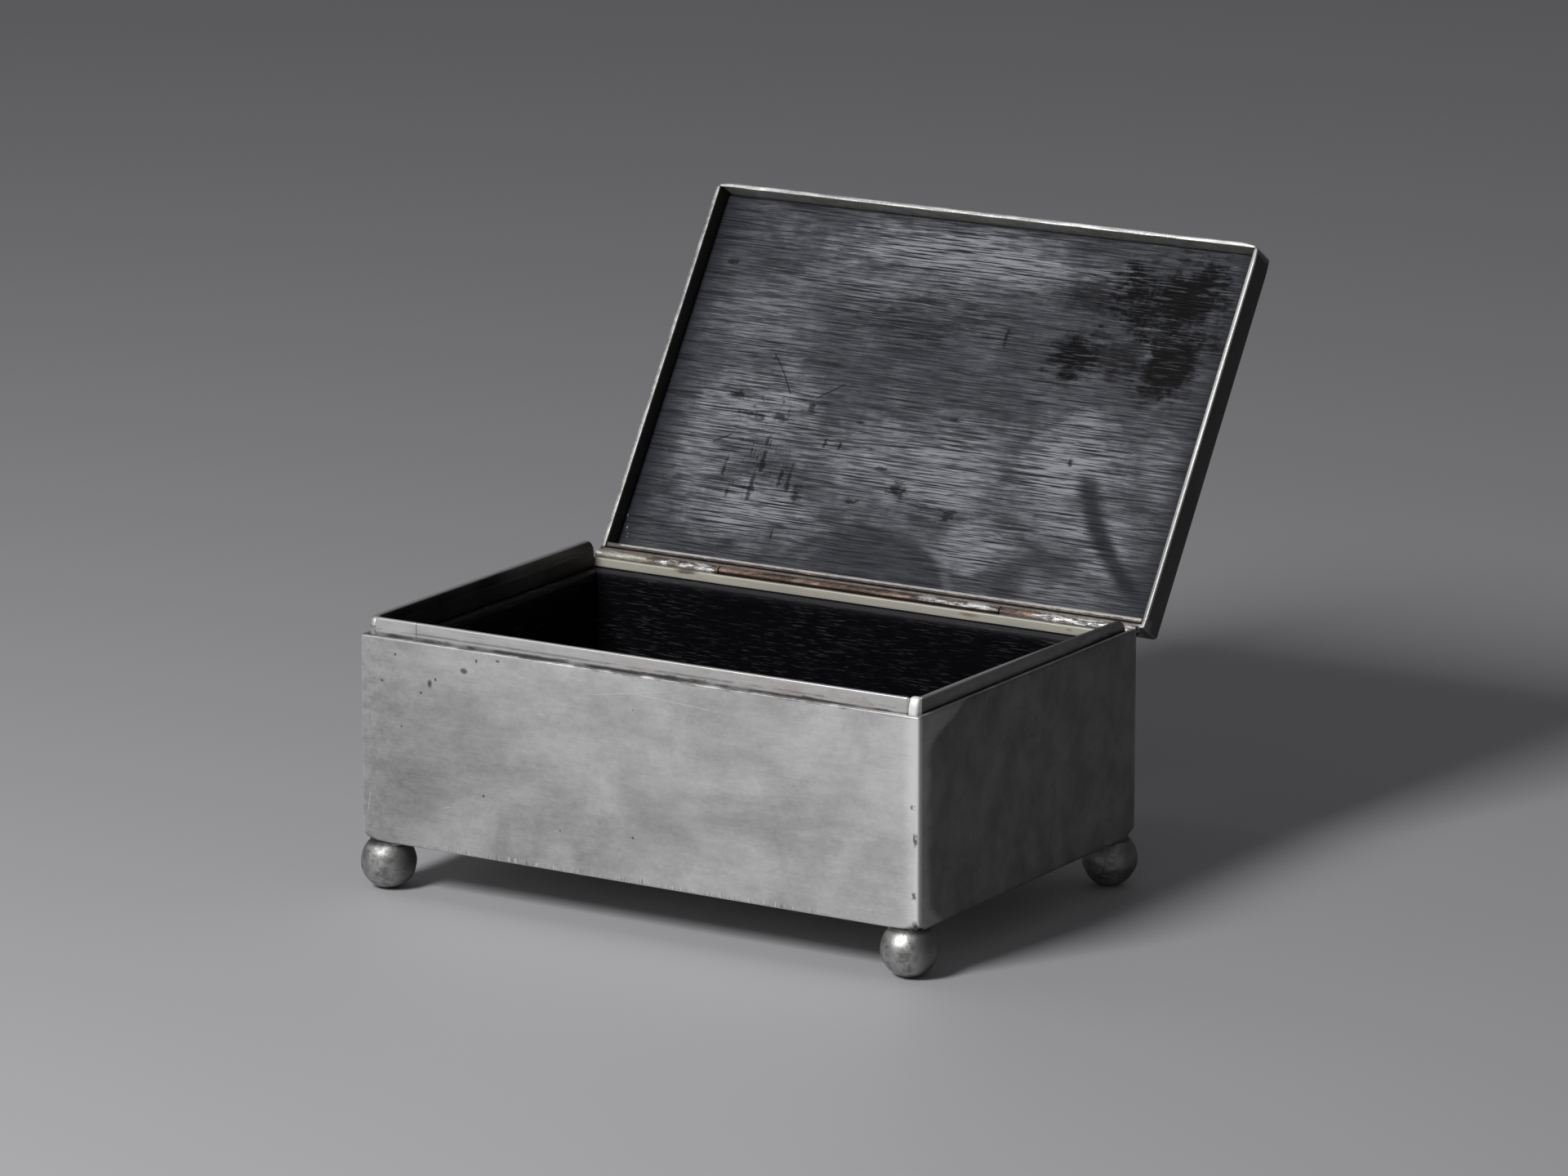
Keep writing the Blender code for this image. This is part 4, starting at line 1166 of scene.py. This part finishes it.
class MakeCollar(bpy.types.Operator):
    """Make the collar's three strips and its two solder posts"""

    bl_idname = "lidded_box.make_collar"
    bl_label = "Collar"

    def execute(self, context):
        shift = [STRIP_SHIFT, 0.0, 0.0]
        low, high = corners("front_collar")
        rings = slab(low - shift, high - shift, STRIP_ROUNDING, 0, 120, (3, 2))
        rings[..., 1] += STRIP_WAVE * ripple(rings[..., 0], rings[..., 2], 0.03, 3)
        add_piece("collar_front", rings, "collar", "box", "pewter", "front_collar")
        for side, sink, wider, finish in (
            ("left", 0.0, 0.0, "worn solder"), ("right", 0.0011, 0.0007, "solder"),
        ):
            node = side + "_collar"
            rings = side_strip_rings(node, sink)
            add_piece("collar_" + side, rings, "collar", "box", "pewter", node)
            node = "collar_post_" + side
            add_piece("solder_post_" + side, post_rings(node, wider), finish, "box", "solder", node)
        return {"FINISHED"}


def side_strip_rings(node, sink):
    """A side strip of the collar, rounded over at its rear top.

    It is a slab along Y whose top is let down, over the last R of its length, by
    R - sqrt(R^2 - d^2), where d is the way into the rounding, and by a sink that grows
    from the middle to the rear.
    """
    low, high = corners(node)
    rings = slab(low - [0.0, STRIP_SHIFT, 0.0], high, STRIP_ROUNDING, 1, 110, (2, 4))
    into = np.clip(rings[..., 1] - (high[1] - STRIP_CORNER), 0.0, STRIP_CORNER * 0.999)
    share = np.clip((rings[..., 1] - low[1]) / (high[1] - low[1]), 0.0, 1.0)
    drop = STRIP_CORNER - np.sqrt(STRIP_CORNER ** 2 - into ** 2) + sink * share ** 1.6
    rings[..., 2] -= drop * (rings[..., 2] - low[2]) / (high[2] - low[2])
    rings[..., 0] += STRIP_WAVE * ripple(rings[..., 1], rings[..., 2], 0.03, 5)
    return rings


def post_rings(node, wider):
    """A solder post: an upright slab whose front leans back over its upper half.

    The front goes back by L u^2, where u runs from 0 at half the height to 1 at the top,
    and the side towards the box's end strays inwards by a ripple.
    """
    low, high = corners(node)
    low = low - [wider, 0.0, 0.0]
    high = high + POST_GROWTH
    rings = slab(low, high, POST_ROUNDING, 2, 14, (2, 2), 8)
    up = np.clip((rings[..., 2] - low[2]) / (high[2] - low[2]) * 2.0 - 1.0, 0.0, 1.0)
    rings[..., 1] += POST_LEAN * up ** 2 * (high[1] - rings[..., 1]) / (high[1] - low[1])
    swell = np.abs(ripple(rings[..., 2], rings[..., 1], 0.003, 8))
    rings[..., 0] -= np.sign(low[0]) * FINE_WAVE * (1 + swell)
    return rings


class MakeLining(bpy.types.Operator):
    """Make the four lining boards and give the base board its finish"""

    bl_idname = "lidded_box.make_lining"
    bl_label = "Wood lining"

    def execute(self, context):
        for side, axis, inward in (
            ("front", 0, 1), ("back", 0, -1), ("left", 1, 1), ("right", 1, -1),
        ):
            node = "lining_" + side
            rings = board_rings(node, axis, inward)
            add_piece("board_" + side, rings, "lining", "box", "black_wood", node)
        dress("lining_base", "base board")
        return {"FINISHED"}


def board_rings(node, axis, inward):
    """A lining board: a rounded section carried along it, with its inner top edge rolled over.

    Points of the section within R of the inner top corner move onto a circle of radius R.
    """
    low, high = corners(node)
    rings = slab(low, high, BOARD_ROUNDING, axis, 90, (4, 24))
    across = 1 - axis
    inner = high[across] if inward > 0 else low[across]
    depth = np.abs(rings[..., across] - inner)
    drop = high[2] - rings[..., 2]
    near_a = np.clip(BOARD_ROLL - depth, 0.0, BOARD_ROLL)
    near_b = np.clip(BOARD_ROLL - drop, 0.0, BOARD_ROLL)
    away = np.maximum(np.hypot(near_a, near_b), BOARD_ROLL)
    scale = np.where((near_a > 0) & (near_b > 0), BOARD_ROLL / away, 1.0)
    rings[..., across] = inner - inward * np.where(near_a > 0, BOARD_ROLL - near_a * scale, depth)
    rings[..., 2] = high[2] - np.where(near_b > 0, BOARD_ROLL - near_b * scale, drop)
    return rings


class MakeHinge(bpy.types.Operator):
    """Make the bearer strip, the box's two hinge tubes and the solder that holds them"""

    bl_idname = "lidded_box.make_hinge"
    bl_label = "Bearer and outer hinge tubes"

    def execute(self, context):
        low, high = corners("back_bearer")
        rings = slab(low, high, BEARER_ROUNDING, 0, 200, (1, 2))
        rings[..., 2] += FINE_WAVE * ripple(rings[..., 0], rings[..., 1], 0.02, 9)
        add_piece("bearer_strip", rings, "cream", "box", "nickel_strip", "back_bearer")
        for seed, side in enumerate(("left", "right")):
            node = "hinge_knuckle_" + side
            rings = tube_rings(node, 31 + seed)
            add_piece("hinge_tube_" + side, rings, "tube", "box", "hinge_tube", node, closed=True)
            rings = solder_run_rings(node, context.scene.lidded_box_sizes.solder_lump, 50 + seed)
            add_piece("hinge_solder_" + side, rings, "dull solder", "box", "solder")
        dress("hinge_pin", "wire")
        return {"FINISHED"}


def tube_rings(node, seed):
    """A hinge tube: a closed section, bore and outside with rounded rims, turned about X.

    The outside radius strays by a ripple where solder and wear leave it uneven.
    """
    low, high = corners(node)
    outer = (high[2] - low[2]) / 2
    centre = (high + low) / 2
    turn = np.linspace(0.0, QUARTER, 5)
    from_end = TUBE_ROUNDING * (1 - np.sin(turn))
    end_radius = outer - TUBE_ROUNDING * (1 - np.cos(turn[::-1]))
    body = np.linspace(low[0] + TUBE_ROUNDING, high[0] - TUBE_ROUNDING, 160)[1:-1]
    bore_x = np.linspace(high[0], low[0], 12)
    x = np.concatenate([low[0] + from_end, body, high[0] - from_end[::-1], bore_x])[:, None]
    radius = np.concatenate([
        end_radius, np.full_like(body, outer), end_radius[::-1], np.full_like(bore_x, TUBE_BORE),
    ])[:, None]
    angle = circle(40)
    uneven = ripple(x, 0.004 * np.cos(angle), 0.02, seed)
    uneven = uneven + 0.5 * ripple(x, 0.003 * np.sin(angle), 0.006, seed + 4) - 1.2
    reach = radius + np.where(radius > TUBE_BORE + 1e-5, TUBE_WAVE * uneven, 0.0)
    return spread(x, centre[1] + reach * np.cos(angle), centre[2] + reach * np.sin(angle))


def solder_run_rings(node, lump, seed):
    """Solder under a hinge tube: a flattened rod along X with rounded tips.

    Round it a point is centre + reach * (1.15 cos v, 0.75 sin v).  Over a tip the reach
    follows sqrt(1 - (1 - s)^2), where s runs from 0 to 1 over one radius of length, and
    along the rod it swells and shrinks by ripples.
    """
    low, high = corners(node)
    start_x = low[0] + RUN_INSETS[0]
    end_x = high[0] - RUN_INSETS[1]
    tips = np.linspace(0.06, 1.0, 7)
    tip_x = tips * RUN_RADIUS
    tip_scale = np.sqrt(1 - (1 - tips) ** 2)
    body = np.linspace(start_x + RUN_RADIUS, end_x - RUN_RADIUS, 150)[1:-1]
    x = np.concatenate([start_x + tip_x, body, end_x - tip_x[::-1]])[:, None]
    scale = np.concatenate([tip_scale, np.ones(len(body)), tip_scale[::-1]])[:, None]
    angle = circle(20)
    uneven = ripple(x, 0.002 * np.cos(angle), 0.009, seed)
    uneven = uneven + 0.6 * ripple(x, 0.003 * np.sin(angle), 0.0035, seed + 1)
    reach = scale * (RUN_RADIUS + 0.5 * lump * uneven)
    y = RUN_PLACE[0] + 1.15 * reach * np.cos(angle)
    return spread(x, y, RUN_PLACE[1] + 0.75 * reach * np.sin(angle))


class MakeLid(bpy.types.Operator):
    """Make the lid's shell, its wood panel, its bearer strip and the middle hinge tube"""

    bl_idname = "lidded_box.make_lid"
    bl_label = "Lid"

    def execute(self, context):
        rings = opened(lid_rings(context.scene.lidded_box_sizes))
        add_piece(
            "lid_shell", rings, "lid sheet", "lid", "pewter",
            "lid_plate", "lid_front_skirt", "lid_right_skirt", "lid_rear_skirt", "lid_left_skirt",
        )
        low, high = closed_box("lid_panel")
        rings = slab(low, high, PANEL_ROUNDING, 0, 150, (80, 2))
        rings[..., 2] += FINE_WAVE * ripple(rings[..., 0], rings[..., 1], 0.03, 12)
        add_piece("wood_panel", opened(rings), "panel", "lid", "panel_wood", "lid_panel")
        rings = opened(lid_strip_rings())
        add_piece("lid_strip", rings, "lid strip", "lid", "nickel_strip", "lid_bearer")
        node = "hinge_knuckle_middle"
        rings = tube_rings(node, 37)
        add_piece("hinge_tube_middle", rings, "lid tube", "lid", "hinge_tube", node, closed=True)
        return {"FINISHED"}


def lid_rings(sizes):
    """Rings of the shut lid, from the middle of its inside out over the rim to its top's middle.

    In plan a point is skeleton + (r - inset) * direction.  The flat inside and top are that
    outline drawn in towards the middle by a share.  The top hollows a little inwards, and
    the outside eases in at the two front corners by the square of the way into them.
    """
    radius = sizes.corner_radius
    edge = sizes.lid_edge
    rim_z = closed_box("lid_front_skirt")[0][2]
    plate_low, plate_high = closed_box("lid_plate")
    ceiling = plate_low[2]
    top = plate_high[2]
    skeleton, direction = plan(HALF_LENGTH, HALF_DEPTH, radius, 10, (120, 80))
    turn = np.linspace(0.0, QUARTER, 6)
    inner_z = np.linspace(ceiling, rim_z + RIM_INNER, 8)[1:-1]
    outer_z = np.linspace(rim_z + RIM_OUTER, top - edge, 10)[1:-1]
    outwards = np.linspace(0.03, 1.0, 14)
    inwards = outwards[-2::-1]
    inset = np.concatenate([
        np.full(len(outwards) + len(inner_z), SHEET), SHEET - RIM_INNER * (1 - np.cos(turn)),
        RIM_OUTER * (1 - np.sin(turn)), np.zeros_like(outer_z), edge * (1 - np.cos(turn)),
        np.full_like(inwards, edge),
    ])
    height = np.concatenate([
        np.full_like(outwards, ceiling), inner_z, rim_z + RIM_INNER * (1 - np.sin(turn)),
        rim_z + RIM_OUTER * (1 - np.cos(turn)), outer_z, top - edge * (1 - np.sin(turn)),
        np.full_like(inwards, top),
    ])[:, None]
    upright = np.ones(len(height) - len(outwards) - len(inwards))
    draw_in = np.concatenate([outwards, upright, inwards])[:, None]
    spot = skeleton + (radius - inset)[:, None, None] * direction
    x, y = np.moveaxis(spot * draw_in[..., None], -1, 0)
    outside = (1 - inset / SHEET)[:, None]
    near_side = np.clip((np.abs(x) - HALF_LENGTH) / LID_EASE + 1, 0.0, 1.0) ** 2
    near_front = np.clip((-y - HALF_DEPTH) / LID_EASE + 1, 0.0, 1.0) ** 2
    eased_x = x - LID_EASE_X * np.sign(x) * near_front * outside
    eased_y = y + LID_EASE_Y * near_side * np.clip(-y / HALF_DEPTH, 0.0, 1.0) ** 8 * outside
    hollow = np.where(height > top - 1e-7, 1 - draw_in ** 4, 0.0)
    drop = hollow * TOP_HOLLOW * (1 + ripple(eased_x, eased_y, 0.05, 15))
    return spread(eased_x, eased_y + CENTRE_Y, height - drop)


def lid_strip_rings():
    """The lid's bearer: a slab along X whose rim side is hollowed by a shallow arc."""
    low, high = closed_box("lid_bearer")
    rings = slab(low, high, LID_STRIP_ROUNDING, 0, 160, (6, 3), 3)
    middle = (low[1] + high[1]) / 2
    half = (high[1] - low[1]) / 2
    share = np.clip(1 - ((rings[..., 1] - middle) / (half * 0.85)) ** 2, 0.0, 1.0)
    rings[..., 2] += LID_STRIP_HOLLOW * share * (rings[..., 2] < low[2] + 0.0001)
    return rings


class MakeStage(bpy.types.Operator):
    """Make the floor, the soft studio light and the camera"""

    bl_idname = "lidded_box.make_stage"
    bl_label = "Floor, light and camera"

    def execute(self, context):
        make_floor(context.scene.lidded_box_colours)
        add_lamp("key", (-0.23, -1.00, 0.91), (0.38, 0.44), 14.0)
        add_lamp("fill", (-1.60, -0.20, 0.90), (0.70, 0.70), 0.9)
        make_world()
        data = bpy.data.cameras.new("photo camera")
        data.lens = CAMERA_LENS
        data.sensor_width = 36.0
        data.clip_end = 20.0
        camera = bpy.data.objects.new("photo camera", data)
        camera.location = CAMERA_PLACE
        camera.rotation_euler = (math.radians(90 - CAMERA_DOWN), 0.0, math.radians(CAMERA_TURN))
        bpy.context.scene.collection.objects.link(camera)
        context.scene.camera = camera
        context.scene.view_settings.view_transform = "Standard"
        return {"FINISHED"}


def make_floor(colours):
    """A level disc of rings about the object, far wider than the view."""
    turn = circle(96)
    reach = np.array([0.3, 0.8, 2.0, 5.0, 10.0])[:, None]
    rings = spread(reach * np.cos(turn), reach * np.sin(turn), 0.0)
    count, around = rings.shape[:2]
    ring = np.arange(count - 1)[:, None] * around
    step = np.arange(around)[None]
    after = (step + 1) % around
    wider = ring + around
    quads = np.stack([ring + step, wider + step, wider + after, ring + after], axis=-1)
    centre = np.stack([np.full(around, count * around), step[0], after[0]], axis=-1)
    mesh = bpy.data.meshes.new("floor")
    points = np.vstack([rings.reshape(-1, 3), [[0.0, 0.0, 0.0]]])
    mesh.from_pydata(points, [], quads.reshape(-1, 4).tolist() + centre.tolist())
    material = bpy.data.materials.new("floor")
    material.use_nodes = True
    shader = material.node_tree.nodes["Principled BSDF"]
    shader.inputs["Base Color"].default_value = rgba(colours.floor)
    shader.inputs["Roughness"].default_value = 0.6
    mesh.materials.append(material)
    floor = bpy.data.objects.new("floor", mesh)
    bpy.context.scene.collection.objects.link(floor)


def add_lamp(name, place, size, power):
    """A rectangular area lamp that faces the box."""
    data = bpy.data.lights.new(name, "AREA")
    data.shape = "RECTANGLE"
    data.size, data.size_y = size
    data.energy = power
    lamp = bpy.data.objects.new(name, data)
    lamp.location = place
    x, y, z = np.subtract(place, LAMP_TARGET)
    lamp.rotation_euler = (math.atan2(math.hypot(x, y), z), 0.0, math.atan2(x, -y))
    bpy.context.scene.collection.objects.link(lamp)


def make_world():
    """Even dim light from all round."""
    world = bpy.data.worlds.new("studio")
    world.use_nodes = True
    background = world.node_tree.nodes["Background"]
    background.inputs["Color"].default_value = (0.97, 0.98, 1.0, 1.0)
    background.inputs["Strength"].default_value = WORLD_STRENGTH
    bpy.context.scene.world = world


STEPS = (MakeFinishes, MakeWalls, MakeFeet, MakeCollar, MakeLining, MakeHinge, MakeLid, MakeStage)


class LiddedBoxPanel(bpy.types.Panel):
    """Sizes, colours and making steps of the lidded box"""

    bl_idname = "VIEW3D_PT_lidded_box"
    bl_label = "Lidded box"
    bl_space_type = "VIEW_3D"
    bl_region_type = "UI"
    bl_category = "Lidded box"

    def draw(self, context):
        for group in (context.scene.lidded_box_sizes, context.scene.lidded_box_colours):
            for name in group.bl_rna.properties.keys():
                if name not in ("rna_type", "name"):
                    self.layout.prop(group, name)
        for step in STEPS:
            self.layout.operator(step.bl_idname)


def register():
    for kind in (BoxSizes, BoxColours) + STEPS + (LiddedBoxPanel,):
        bpy.utils.register_class(kind)
    bpy.types.Scene.lidded_box_sizes = bpy.props.PointerProperty(type=BoxSizes)
    bpy.types.Scene.lidded_box_colours = bpy.props.PointerProperty(type=BoxColours)


def unregister():
    del bpy.types.Scene.lidded_box_colours
    del bpy.types.Scene.lidded_box_sizes
    for kind in ((BoxSizes, BoxColours) + STEPS + (LiddedBoxPanel,))[::-1]:
        bpy.utils.unregister_class(kind)


def main():
    """Register the add-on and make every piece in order."""
    register()
    for step in STEPS:
        group, operator = step.bl_idname.split(".")
        getattr(getattr(bpy.ops, group), operator)()


if __name__ == "__main__":
    main()
